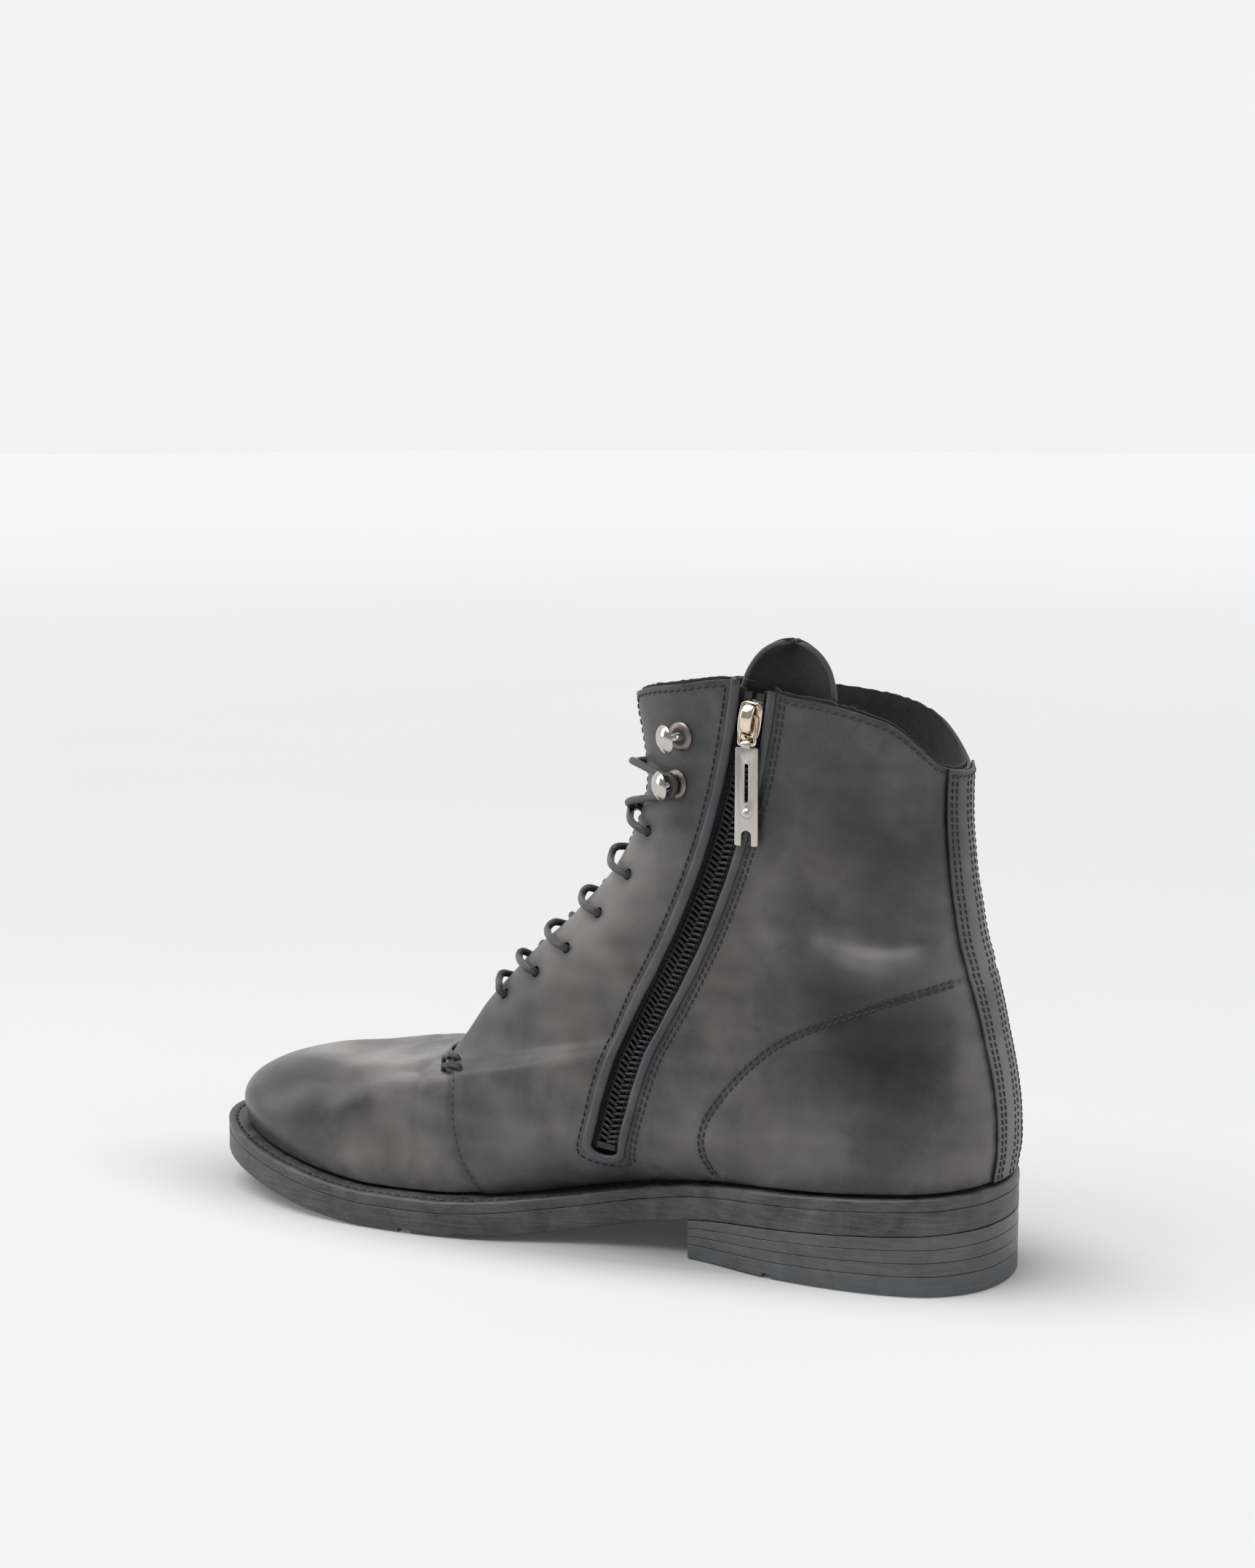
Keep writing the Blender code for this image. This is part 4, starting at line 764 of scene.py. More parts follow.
def rod(name, path, radius, finish, sides=12, round_ends=True, closed=False, flat=None):
    """A round rod along a path, with UVs in millimetres: round it and along it."""
    path = np.asarray(path, float)
    along, a, b = frames(path)
    if flat is not None:
        b = np.asarray(flat, float)
        b = b - along * (b * along).sum(1)[:, None]
        b /= np.linalg.norm(b, axis=1)[:, None]
        a = np.cross(b, along)
    radii = np.asarray(radius, float)
    ra, rb = radii.T if radii.ndim == 2 else [np.broadcast_to(radii, len(path))] * 2
    turn = np.linspace(0, 2 * math.pi, sides, endpoint=False)
    rings = []
    for i in range(len(path)):
        rings.append(path[i] + np.cos(turn)[:, None] * a[i] * ra[i] + np.sin(turn)[:, None] * b[i] * rb[i])
    faces = grid_faces(len(rings), sides, True)
    if closed:
        last = (len(rings) - 1) * sides
        faces += band(last, 0, sides)
    elif round_ends:
        for end, way in ((0, -1), (-1, 1)):
            ring, centre = rings[end], path[end]
            size = min(ra[end], rb[end])
            first = 0 if end == 0 else (len(rings) - 1) * sides
            for shrink, push in ((0.80, 0.45), (0.42, 0.8)):
                rings.append(centre + (ring - centre) * shrink + way * along[end] * size * push)
                here = (len(rings) - 1) * sides
                faces += band(first, here, sides)
                first = here
            faces.append(tuple(first + j for j in range(sides)))
    obj = outwards(new_object(name, np.concatenate(rings), faces, finish), merge=False)
    obj.data.shade_smooth()
    steps = lengths(path)
    steps = np.concatenate([steps, [steps[0]] * 2, [steps[-1]] * 2])
    layer = obj.data.uv_layers.new(name="UVMap")
    loops = np.empty(len(obj.data.loops), np.int32)
    obj.data.loops.foreach_get("vertex_index", loops)
    ring, corner = loops // sides, loops % sides
    around = corner / sides
    starts = np.empty(len(obj.data.polygons), np.int32)
    counts = np.empty(len(obj.data.polygons), np.int32)
    obj.data.polygons.foreach_get("loop_start", starts)
    obj.data.polygons.foreach_get("loop_total", counts)
    for s, c in zip(starts, counts):
        part = around[s : s + c]
        if part.max() - part.min() > 0.5:
            around[s : s + c] = np.where(part < 0.5, part + 1, part)
    size = float(np.mean(ra)) * 2 * math.pi
    uv = np.stack([around * size, steps[np.minimum(ring, len(steps) - 1)]], 1)
    layer.data.foreach_set("uv", uv.astype(np.float32).ravel())
    return obj


def lathe(name, root, axis, profile, finish, steps=40):
    """A turned solid: pairs of radius and height from the top down, about axis."""
    across, along, out = frame_at(axis, (0.31, 0.9, 0.2))
    angles = np.linspace(0, 2 * math.pi, steps, endpoint=False)
    circle = np.cos(angles)[:, None] * across + np.sin(angles)[:, None] * along
    loops = [np.asarray(root) + out * h + circle * max(r, 0.01) for r, h in profile]
    obj = solid_loops(name, loops, finish)
    shade(obj.data, 50)
    return obj


def stitches(name, rows, finish, pitch=2.35, length=1.8, radius=0.34, lift=0.1, body="boot"):
    """Rows of sewn thread: each row is a path and its outward directions; every stitch is its own loop."""
    points, faces = [], []
    sides, stations = 6, (0.0, 0.12, 0.5, 0.88, 1.0)
    turn = np.linspace(0, 2 * math.pi, sides, endpoint=False)
    for path, out in rows:
        path, out = np.asarray(path, float), np.asarray(out, float)
        run = lengths(path)
        count = max(1, int(run[-1] / pitch))
        step = run[-1] / count
        fetch = lambda values, s: np.array([np.interp(s, run, values[:, k]) for k in range(3)])
        for i in range(count):
            begin = i * step + (step - length) / 2
            base = len(points)
            for t in stations:
                s = begin + length * t
                p, n = fetch(path, s), fetch(out, s)
                ahead = fetch(path, s + 0.2) - fetch(path, s - 0.2)
                ahead /= max(np.linalg.norm(ahead), 1e-9)
                n = n - ahead * (n @ ahead)
                n /= np.linalg.norm(n)
                across = np.cross(n, ahead)
                fat = radius * (0.62 if t in (0.0, 1.0) else 1.0)
                centre = p + n * (lift - 0.42 + 0.42 * math.sin(math.pi * (0.1 + 0.8 * t)) ** 0.6)
                lean = across * (t - 0.5) * 0.22
                for angle in turn:
                    points.append(centre + lean + (across * math.cos(angle) + n * math.sin(angle)) * fat)
            for r in range(len(stations) - 1):
                for j in range(sides):
                    k = (j + 1) % sides
                    a, b = base + r * sides, base + (r + 1) * sides
                    faces.append((a + j, b + j, b + k, a + k))
            faces.append(tuple(base + j for j in range(sides)))
            last = base + (len(stations) - 1) * sides
            faces.append(tuple(last + j for j in reversed(range(sides))))
    obj = new_object(name, np.array(points), faces, finish)
    obj.data.shade_smooth()
    return place(obj, "thread", body)


def row_on(u, w, off=0.0):
    """A sewn row along places (u, w) of the worn leather."""
    u, w = np.asarray(u, float), np.asarray(w, float)
    fine = np.linspace(0, len(u) - 1, 8 * len(u))
    at = np.arange(len(u))
    u, w = np.interp(fine, at, u), np.interp(fine, at, w)
    return face(u, w, off), normal(u, w)


def row_at(side, places):
    """A sewn row along places (y, z) of the side view."""
    spots = [locate(side, y, z) for y, z in places]
    return row_on([s[0] for s in spots], [s[1] for s in spots])


# ---------------------------------------------------------------- materials
class Finish:
    """A node material under construction. Sizes are millimetres."""

    def __init__(self, name, roughness=0.5, metallic=0.0, **constants):
        self.material = bpy.data.materials.new(name)
        self.material.use_nodes = True
        self.nodes, self.links = self.material.node_tree.nodes, self.material.node_tree.links
        self.shader = self.nodes["Principled BSDF"]
        self.shader.inputs["Roughness"].default_value = roughness
        self.shader.inputs["Metallic"].default_value = metallic
        for key, value in constants.items():
            self.shader.inputs[key.replace("_", " ")].default_value = value
        coordinates = self.nodes.new("ShaderNodeTexCoord")
        self.uv = coordinates.outputs["UV"]
        self.mm = self.vector("SCALE", coordinates.outputs["Object"], scale=1000.0)

    def put(self, socket, value):
        if isinstance(value, bpy.types.NodeSocket):
            self.links.new(value, socket)
        else:
            socket.default_value = value

    def vector(self, operation, a, b=None, scale=None):
        node = self.nodes.new("ShaderNodeVectorMath")
        node.operation = operation
        self.put(node.inputs[0], a)
        if b is not None:
            self.put(node.inputs[1], b)
        if scale is not None:
            self.put(node.inputs["Scale"], scale)
        return node.outputs[0]

    def blend(self, a, b, share):
        """Two factors added by their shares."""
        one, two = self.math("MULTIPLY", a, share), self.math("MULTIPLY", b, round(1 - share, 6))
        return self.math("ADD", one, two)

    def stretched(self, *scales):
        """Object coordinates in millimetres, each axis by its own scale."""
        axes = self.split(self.mm)
        node = self.nodes.new("ShaderNodeCombineXYZ")
        for socket, axis, scale in zip(node.inputs, axes, scales):
            self.put(socket, axis if scale == 1 else self.math("MULTIPLY", axis, scale))
        return node.outputs[0]

    def math(self, operation, a, b=0.0, clamp=False):
        node = self.nodes.new("ShaderNodeMath")
        node.operation, node.use_clamp = operation, clamp
        self.put(node.inputs[0], a)
        self.put(node.inputs[1], b)
        return node.outputs[0]

    def noise(self, size, detail=4.0, rough=0.55, warp=0.0, at=None):
        node = self.nodes.new("ShaderNodeTexNoise")
        self.put(node.inputs["Vector"], self.mm if at is None else at)
        node.inputs["Scale"].default_value = 1.0 / size
        node.inputs["Detail"].default_value = detail
        node.inputs["Roughness"].default_value = rough
        node.inputs["Distortion"].default_value = warp
        return node.outputs["Fac"]

    def cells(self, size, feature="F1", at=None):
        node = self.nodes.new("ShaderNodeTexVoronoi")
        node.feature = feature
        self.put(node.inputs["Vector"], self.mm if at is None else at)
        node.inputs["Scale"].default_value = 1.0 / size
        return node.outputs["Distance"]

    def spread(self, factor, low, high, to_low=0.0, to_high=1.0):
        node = self.nodes.new("ShaderNodeMapRange")
        self.put(node.inputs["Value"], factor)
        for key, value in (("From Min", low), ("From Max", high), ("To Min", to_low), ("To Max", to_high)):
            node.inputs[key].default_value = value
        return node.outputs["Result"]

    def ramp(self, factor, *stops):
        node = self.nodes.new("ShaderNodeValToRGB")
        self.put(node.inputs["Fac"], factor)
        elements = node.color_ramp.elements
        while len(elements) < len(stops):
            elements.new(0.5)
        for element, (at, colour) in zip(elements, stops):
            element.position = at
            element.color = (*colour, 1)
        return node.outputs["Color"]

    def mix(self, factor, a, b, kind="MIX"):
        node = self.nodes.new("ShaderNodeMix")
        node.data_type, node.blend_type = "RGBA", kind
        self.put(node.inputs["Factor"], factor)
        for key, value in ((6, a), (7, b)):
            self.put(node.inputs[key], value if isinstance(value, bpy.types.NodeSocket) else (*value, 1))
        return node.outputs[2]

    def attribute(self, name):
        node = self.nodes.new("ShaderNodeAttribute")
        node.attribute_name = name
        return node.outputs["Fac"]

    def split(self, vector):
        node = self.nodes.new("ShaderNodeSeparateXYZ")
        self.put(node.inputs[0], vector)
        return node.outputs

    def bump(self, height, depth, strength=1.0, under=None):
        node = self.nodes.new("ShaderNodeBump")
        node.inputs["Strength"].default_value = strength
        node.inputs["Distance"].default_value = depth * MM
        self.put(node.inputs["Height"], height)
        if under is not None:
            self.put(node.inputs["Normal"], under)
        return node.outputs["Normal"]

    def done(self, colour=None, roughness=None, normal=None):
        for key, value in (("Base Color", colour), ("Roughness", roughness), ("Normal", normal)):
            if value is not None:
                self.put(self.shader.inputs[key], value)
        return self.material


def times(colour, *by):
    """A colour made lighter or darker, by one number or by one for each channel."""
    return tuple(v * k for v, k in zip(colour, by * 3 if len(by) == 1 else by))


def leather(name, shades, rough=0.42, grain=0.045, coat=0.12, light=2.3):
    """Waxed calf: mottled, with a fine pebbled grain; where the tone attribute is above 0 it is darker
    (burnish, painted shade, uneven tone) and below 0 lighter (painted highlights, uneven tone).
    """
    f = Finish(name, Coat_Weight=coat, Coat_Roughness=0.32, Specular_IOR_Level=0.42)
    patches, middle, fine = f.noise(34, 3, 0.5, 0.8), f.noise(9, 5, 0.6, 0.4), f.noise(0.9, 5, 0.65)
    colour = f.ramp(f.blend(patches, middle, 0.62), (0.36, shades[0]), (0.5, shades[1]), (0.64, shades[2]))
    tint = f.noise(52, 2, 0.5, 0.5)
    colour = f.mix(f.spread(tint, 0.5, 0.7, 0, 0.35), colour, times(shades[1], 1.25, 1.04, 0.88))
    colour = f.mix(f.spread(tint, 0.5, 0.32, 0, 0.3), colour, times(shades[1], 0.8, 0.95, 1.12))
    colour = f.mix(f.spread(fine, 0.35, 0.75, 0, 0.5), colour, times(shades[1], 1.35))
    tone = f.attribute("tone")
    # tone above 0 darkens: burnish and painted shade along seams and edges, and uneven tone
    dark = f.math("MULTIPLY", f.math("MAXIMUM", tone, 0.0), 0.9, True)
    colour = f.mix(dark, colour, times(shades[0], 0.28))
    # tone below 0 lightens towards the light shade times light: painted highlights and uneven tone
    paler_and_highlight = f.math("MULTIPLY", f.math("MAXIMUM", f.math("MULTIPLY", tone, -1.0), 0.0), 0.7, True)
    colour = f.mix(paler_and_highlight, colour, times(shades[2], light))
    shine = f.spread(middle, 0.3, 0.7, rough - 0.06, rough + 0.10)
    shine = f.math("ADD", shine, f.math("MULTIPLY", fine, 0.08))
    shine = f.math("SUBTRACT", shine, f.math("MULTIPLY", f.math("MAXIMUM", tone, 0.0), 0.07))
    pebble = f.cells(0.62, "SMOOTH_F1")
    low = f.bump(f.noise(3.4, 6, 0.6, 1.2), 0.14, 0.6)
    mid = f.bump(pebble, grain, 0.8, low)
    top = f.bump(f.noise(0.24, 3, 0.6), grain * 0.6, 0.7, mid)
    return f.done(colour, shine, top)


def suede(name, dark, light):
    f = Finish(name, 0.95, Sheen_Weight=0.25, Sheen_Roughness=0.5, Specular_IOR_Level=0.2)
    nap = f.noise(6, 5, 0.7, 1.0)
    fibre = f.noise(0.45, 5, 0.8, 1.5)
    colour = f.ramp(f.blend(nap, fibre, 0.55), (0.35, dark), (0.65, light))
    shine = f.spread(fibre, 0.3, 0.7, 0.86, 1.0)
    return f.done(colour, shine, f.bump(fibre, 0.35, 0.9, f.bump(nap, 0.3, 0.5)))


def sole_edge(name, dark, light, rough):
    """Burnished sole edge: streaks along the boot, scuffs and pressed lines."""
    f = Finish(name, Coat_Weight=0.1, Coat_Roughness=0.35, Specular_IOR_Level=0.45)
    streaks = f.noise(1.4, 6, 0.7, 0.6, f.stretched(0.12, 0.10, 1.6))
    patches, grit = f.noise(13, 4, 0.6, 1.0), f.noise(0.7, 6, 0.75)
    middle = tuple((a + b) / 2 for a, b in zip(dark, light))
    colour = f.ramp(f.blend(streaks, patches, 0.5), (0.34, dark), (0.52, middle), (0.68, light))
    scuff = f.spread(f.noise(2.6, 8, 0.8, 2.0), 0.60, 0.72, 0, 0.5)
    colour = f.mix(scuff, colour, times(light, 1.9))
    shine = f.spread(patches, 0.3, 0.7, rough - 0.1, rough + 0.15)
    low = f.bump(streaks, 0.22, 0.7)
    return f.done(colour, shine, f.bump(grit, 0.10, 0.8, f.bump(patches, 0.5, 0.35, low)))


def metal(name, colour, rough, brushed=False):
    f = Finish(name, rough, 1.0)
    smear = f.noise(3.0, 4, 0.6)
    if brushed:
        lines = f.noise(0.5, 5, 0.7, 0, f.stretched(1, 5.0, 0.25))
        tint = f.ramp(lines, (0.3, times(colour, 0.72)), (0.7, colour))
        return f.done(tint, f.spread(lines, 0.3, 0.7, rough, rough + 0.14), f.bump(lines, 0.02, 0.6))
    tint = f.ramp(smear, (0.3, times(colour, 0.86)), (0.7, colour))
    return f.done(tint, f.spread(smear, 0.35, 0.65, rough, rough + 0.07), f.bump(f.noise(0.8, 4), 0.006, 0.5))


def woven(name, dark, light, pitch, rough=0.8, sheen=0.15):
    """Plain weave drawn on the UVs, which are millimetres."""
    f = Finish(name, rough, Sheen_Weight=sheen)
    u, v = f.split(f.uv)[0:2]
    a = f.math("SINE", f.math("MULTIPLY", u, 2 * math.pi / pitch))
    b = f.math("SINE", f.math("MULTIPLY", v, 2 * math.pi / (pitch * 0.7)))
    height = f.math("MULTIPLY", f.math("ADD", f.math("MULTIPLY", a, b), 1.0), 0.5)
    fuzz = f.noise(0.4, 4, 0.7)
    colour = f.mix(height, dark, light)
    colour = f.mix(f.spread(fuzz, 0.3, 0.8, 0, 0.4), colour, times(light, 1.5))
    shine = f.spread(fuzz, 0.3, 0.7, rough - 0.1, rough + 0.1)
    return f.done(colour, shine, f.bump(fuzz, 0.05, 0.5, f.bump(height, 0.16, 0.9)))


def braid(name, dark, light, pitch, rough):
    """A round braid: strands that cross both ways round a cord, drawn on the UVs."""
    f = Finish(name, rough, Coat_Weight=0.25, Coat_Roughness=0.3)
    u, v = f.split(f.uv)[0:2]
    k = 2 * math.pi / pitch
    one = f.math("SINE", f.math("ADD", f.math("MULTIPLY", u, k), f.math("MULTIPLY", v, k * 0.8)))
    two = f.math("SINE", f.math("SUBTRACT", f.math("MULTIPLY", u, k), f.math("MULTIPLY", v, k * 0.8)))
    height = f.math("MULTIPLY", f.math("ADD", f.math("MAXIMUM", one, two), 1.0), 0.5)
    wear = f.noise(5, 4, 0.6)
    colour = f.mix(height, dark, light)
    colour = f.mix(f.spread(wear, 0.45, 0.7, 0, 0.4), colour, times(light, 1.4))
    return f.done(colour, f.spread(wear, 0.3, 0.7, rough - 0.08, rough + 0.1), f.bump(height, 0.2, 0.85))


def grainy(name, dark, light, size, rough, depth, chips=False):
    f = Finish(name, rough)
    spots = f.cells(size) if chips else f.noise(size, 6, 0.7, 0.5)
    fine = f.noise(size * 0.3, 5, 0.7)
    blend = f.blend(spots, fine, 0.6)
    colour = f.ramp(blend, (0.3, dark), (0.62, light))
    return f.done(colour, f.spread(fine, 0.3, 0.7, rough - 0.08, rough + 0.08), f.bump(blend, depth, 0.8))


def make_finishes():
    shades = ((0.030, 0.031, 0.033), (0.060, 0.058, 0.058), (0.105, 0.098, 0.094))
    rolled = ((0.036, 0.037, 0.041), (0.052, 0.053, 0.057), (0.078, 0.078, 0.082))
    sock = ((0.020, 0.019, 0.018), (0.032, 0.030, 0.028), (0.046, 0.043, 0.040))
    return {
        "upper": leather("waxed_leather", shades),
        # the toe's lighter colour is brighter (light 3.4), for the painted highlight on its top
        "toe": leather("polished_toe_leather", shades, 0.36, 0.035, 0.4, 3.4),
        "roll": leather("rolled_leather", rolled, 0.36, 0.03),
        "lining": suede("suede", (0.010, 0.010, 0.011), (0.034, 0.033, 0.033)),
        "sole": sole_edge("sole_edge_leather", (0.020, 0.020, 0.022), (0.115, 0.112, 0.112), 0.40),
        "heel": sole_edge("stacked_heel_leather", (0.055, 0.055, 0.057), (0.125, 0.122, 0.121), 0.30),
        "rubber": sole_edge("top_lift_rubber", (0.062, 0.065, 0.069), (0.115, 0.119, 0.125), 0.5),
        "aged": metal("aged_steel", (0.26, 0.225, 0.20), 0.34),
        "board": grainy("fibre_board", (0.22, 0.14, 0.08), (0.42, 0.30, 0.19), 1.1, 0.82, 0.08),
        "cork": grainy("granulated_cork", (0.16, 0.09, 0.045), (0.50, 0.34, 0.20), 1.6, 0.9, 0.3, True),
        "stiff": grainy("stiffener_canvas", (0.28, 0.24, 0.19), (0.50, 0.45, 0.38), 0.6, 0.85, 0.06),
        "steel": metal("spring_steel", (0.56, 0.57, 0.59), 0.32),
        "nickel": metal("polished_warm_nickel", (0.86, 0.74, 0.60), 0.10),
        "hook": metal("polished_nickel", (0.60, 0.575, 0.54), 0.12),
        "brushed": metal("brushed_nickel", (0.66, 0.63, 0.58), 0.26, True),
        "tape": woven("zip_tape_weave", (0.006, 0.006, 0.007), (0.022, 0.022, 0.024), 1.1),
        "coil": grainy("zip_nylon", (0.008, 0.008, 0.009), (0.024, 0.024, 0.026), 1.2, 0.36, 0.02),
        "lace": braid("waxed_braid", (0.012, 0.012, 0.013), (0.050, 0.050, 0.053), 0.9, 0.42),
        "thread": grainy("waxed_thread", (0.008, 0.008, 0.009), (0.026, 0.026, 0.028), 0.35, 0.5, 0.05),
        "stitch": braid("thick_thread", (0.010, 0.010, 0.010), (0.030, 0.029, 0.028), 0.7, 0.5),
        "sock": leather("sock_leather", sock, 0.5),
        "plastic": grainy("aglet_resin", (0.012, 0.012, 0.012), (0.03, 0.03, 0.03), 2.0, 0.3, 0.01),
    }


# ---------------------------------------------------------------- the sole
def closed_outline(inset, forefoot_inset=None, count=420):
    """The outline moved inwards, point for point the same as with no inset, from the back point round."""
    line = outline(inset, forefoot_inset, count)
    base = outline(0.0, None, count)
    return np.roll(line, -int(np.argmin(base[:, 1])), 0)


def ladder_cap(count, first, flip=False):
    """Quads across a closed loop, from one side of the boot to the other."""
    faces = []
    for i in range(0, count // 2 - 1):
        a, b = i, i + 1
        c, d = (count - i - 1) % count, (count - i) % count
        face_ = (first + a, first + b, first + c, first + d)
        if i == 0:
            face_ = (first + 0, first + 1, first + (count - 1))
        faces.append(face_[::-1] if flip else face_)
    mid = count // 2 - 1
    if count % 2 == 0:
        faces.append((first + mid, first + mid + 1, first + mid + 2))
    return [face_ for face_ in faces if len(set(face_)) > 2]


def edge_wear(p, deep):
    """Uneven pressed marks on a sole edge, in and out."""
    q = np.asarray(p, float) * np.array((1.0, 1.0, 2.4))
    return deep * (0.6 * waves(q, 17, 3) + 0.4 * waves(q, 6.5, 9) + 0.35 * waves(q, 3.1, 15))


def plate(name, last, low, high, finish, edge, deep):
    """A plate of the sole from the back to last, between two heights given along the boot.

    edge is the radius of its rounding below and above, and deep is the depth of its pressed marks.
    """
    line = closed_outline(0.0)
    inward = closed_outline(1.0) - line
    clip = last < PAST_TOE
    if clip:
        keep = line[:, 1] <= last
        k = int(np.argmax(~keep))
        line, inward = np.roll(line, -k, 0), np.roll(inward, -k, 0)
        keep = np.roll(keep, -k)
        line, inward = line[keep], inward[keep]
        t = np.linspace(0, 1, 26)[1:-1, None]
        line = np.concatenate([line, line[-1] * (1 - t) + line[0] * t])
        inward = np.concatenate([inward, np.tile((0.0, -1.0), (24, 1))])
    count = len(line)
    radius_low, radius_high = edge
    profile = [(7.0, 0, 0.0), (2.4, 0, 0.0)]
    for angle in np.radians((0, 22, 45, 68, 90)):
        profile.append((radius_low * (1 - math.sin(angle)), 0, radius_low * (1 - math.cos(angle))))
    for share in (0.25, 0.5, 0.75):
        profile.append((0.0, share, None))
    for angle in np.radians((90, 68, 45, 22, 0)):
        profile.append((radius_high * (1 - math.sin(angle)), 1, -radius_high * (1 - math.cos(angle))))
    profile += [(2.4, 1, 0.0), (7.0, 1, 0.0)]
    loops = []
    for inset, share, dz in profile:
        xy = line + inward * inset
        bottom, top = low(xy[:, 1]), high(xy[:, 1])
        if dz is None:
            a, b = bottom + radius_low, top - radius_high
            z = a + (b - a) * share
        else:
            z = bottom + dz if share == 0 else top + dz
        p = np.c_[xy, z]
        if inset < 1.5:
            move = edge_wear(p, deep)
            p[:, :2] -= inward * move[:, None] * (1 if inset < 0.6 else 0.5)
        loops.append(p)
    faces = grid_faces(len(loops), count, True)
    points = np.concatenate(loops)
    last_row = (len(loops) - 1) * count
    if clip:
        faces += [tuple(range(count)), tuple(last_row + j for j in reversed(range(count)))]
    else:
        faces += ladder_cap(count, 0, True) + ladder_cap(count, last_row)
    return outwards(new_object(name, points, faces, finish))


def make_soles(use):
    outer = closed_outline(0.0, None, 560)
    inward = closed_outline(1.0, None, 560) - outer
    widths = 9.0 + 2.5 * ease(outer[:, 1], 95, 155)
    profile = [
        (1.0, -4.0), (0.25, -4.0), (0.12, -3.85), (0.03, -3.45), (0.0, -2.9), (-0.04, -2.0), (0.0, -1.2),
        (0.10, -0.66), (0.42, -0.24), (0.95, -0.03), (1.7, 0.06), (2.3, -0.02), (2.7, -0.32), (3.05, -0.38),
        (3.4, -0.1), (4.0, 0.0),
    ]
    loops = []
    for inset, dz in [(None, -4.0)] + profile + [(None, 0.0)]:
        step = widths if inset is None else np.full(len(outer), inset)
        xy = outer + inward * step[:, None]
        p = np.c_[xy, seat(xy[:, 1]) + dz]
        if inset is not None and inset < 2.0:
            p[:, :2] -= inward * edge_wear(p, 0.16)[:, None]
            p[:, 2] += 0.10 * waves(p, 9, 5) * (dz > -3)
        loops.append(p)
    count = len(outer)
    faces = grid_faces(len(loops), count, True)
    last = (len(loops) - 1) * count
    faces += band(last, 0, count)
    welt = outwards(new_object("storm_welt", np.concatenate(loops), faces, use["sole"]))
    settle(welt, 50)
    place(welt, "sole_leather", replaces=("welt",))

    tread = box_cutter((-47, 207, -0.2), (26, 5.0, 3.2))
    outsole = plate(
        "leather_outsole", PAST_TOE, lambda y: seat(y) - SOLE_UNIT, lambda y: seat(y) - WELT_THICK - 0.12,
        use["sole"], (0.9, 0.35), 0.14,
    )
    cut(outsole, tread)
    settle(outsole, 45)
    place(outsole, "sole_leather", replaces=("outsole",))
    for i in range(3):
        lift = plate(
            f"stacked_lift_{i + 1}", HEEL_BREAST,
            lambda y, s=i / 3: lift_height(y, s) + 0.07, lambda y, s=(i + 1) / 3: lift_height(y, s) - 0.07,
            use["heel"], (0.16, 0.16), 0.11,
        )
        settle(lift, 45)
        place(lift, "sole_leather", replaces=(f"heel_lift_{i + 1}",))
    top_lift = plate(
        "rubber_top_lift", HEEL_BREAST, lambda y: 0.0 * y, lambda y: top_lift_height(y) - 0.1,
        use["rubber"], (0.7, 0.16), 0.06,
    )
    notch = box_cutter((-36, 76, 0), (12, 3.2, 3.0))
    cut(top_lift, notch)
    settle(top_lift, 45)
    place(top_lift, "lift_rubber", replaces=("top_lift",))
    remove(tread, notch)
    rows = []
    line = closed_outline(3.05, None, 560)
    line = line[(line[:, 1] > 100)]
    k = int(np.argmax(np.linalg.norm(np.diff(line, axis=0), axis=1))) + 1
    line = np.roll(line, -k, 0)
    rows.append((np.c_[line, seat(line[:, 1]) - 0.25], np.tile((0.0, 0.0, 1.0), (len(line), 1))))
    stitches("welt_stitching", rows, use["thread"], 3.4, 2.6, 0.36, 0.2)


def box_cutter(centre, size):
    """A block to cut with."""
    work = bmesh.new()
    bmesh.ops.create_cube(work, size=1.0)
    bmesh.ops.scale(work, vec=Vector(size), verts=work.verts)
    points = [np.array(v.co) + np.array(centre) for v in work.verts]
    faces = [[v.index for v in f.verts] for f in work.faces]
    work.free()
    return outwards(new_object("cutter", points, faces))


# ---------------------------------------------------------------- the upper
SIDE_NAME = {-1: "medial", 1: "lateral"}


def front_edge(side, w):
    """The quarter's front edge, with its top corner rounded."""
    edge = quarter_front(side, w)
    top = max(0.0, (w - 0.966) / 0.034)
    return edge - side * 0.052 * (1 - math.sqrt(max(0.0, 1 - top * top)))


def hole_cutters(places, radius):
    """Round pins through the leather at these places (u, w)."""
    pin = (radius, 4), (radius, -7)
    return [lathe("cutter", upper(u, w), normal(u, w), pin, None, 20) for u, w in places]


U_TURN = ZIP_LENGTH - 1.6


def slot_cutter(half=7.55):
    """A solid along the chain of this half-width, open above the collar and rounded at its foot."""
    loops = []
    foot = U_TURN + 5.75 * np.sin(np.radians((0, 15, 30, 45, 60, 75, 86)))
    for run in np.concatenate([np.arange(-14.0, U_TURN, 2.0), foot]):
        side = half if run <= U_TURN else half * math.sqrt(max(0.0, 1 - ((run - U_TURN) / 5.8) ** 2))
        corners = ((-side, -9), (-side, 9), (side, 9), (side, -9))
        loops.append(np.array([chain_at(run, across, out) for across, out in corners]))
    return solid_loops("cutter", loops, None)


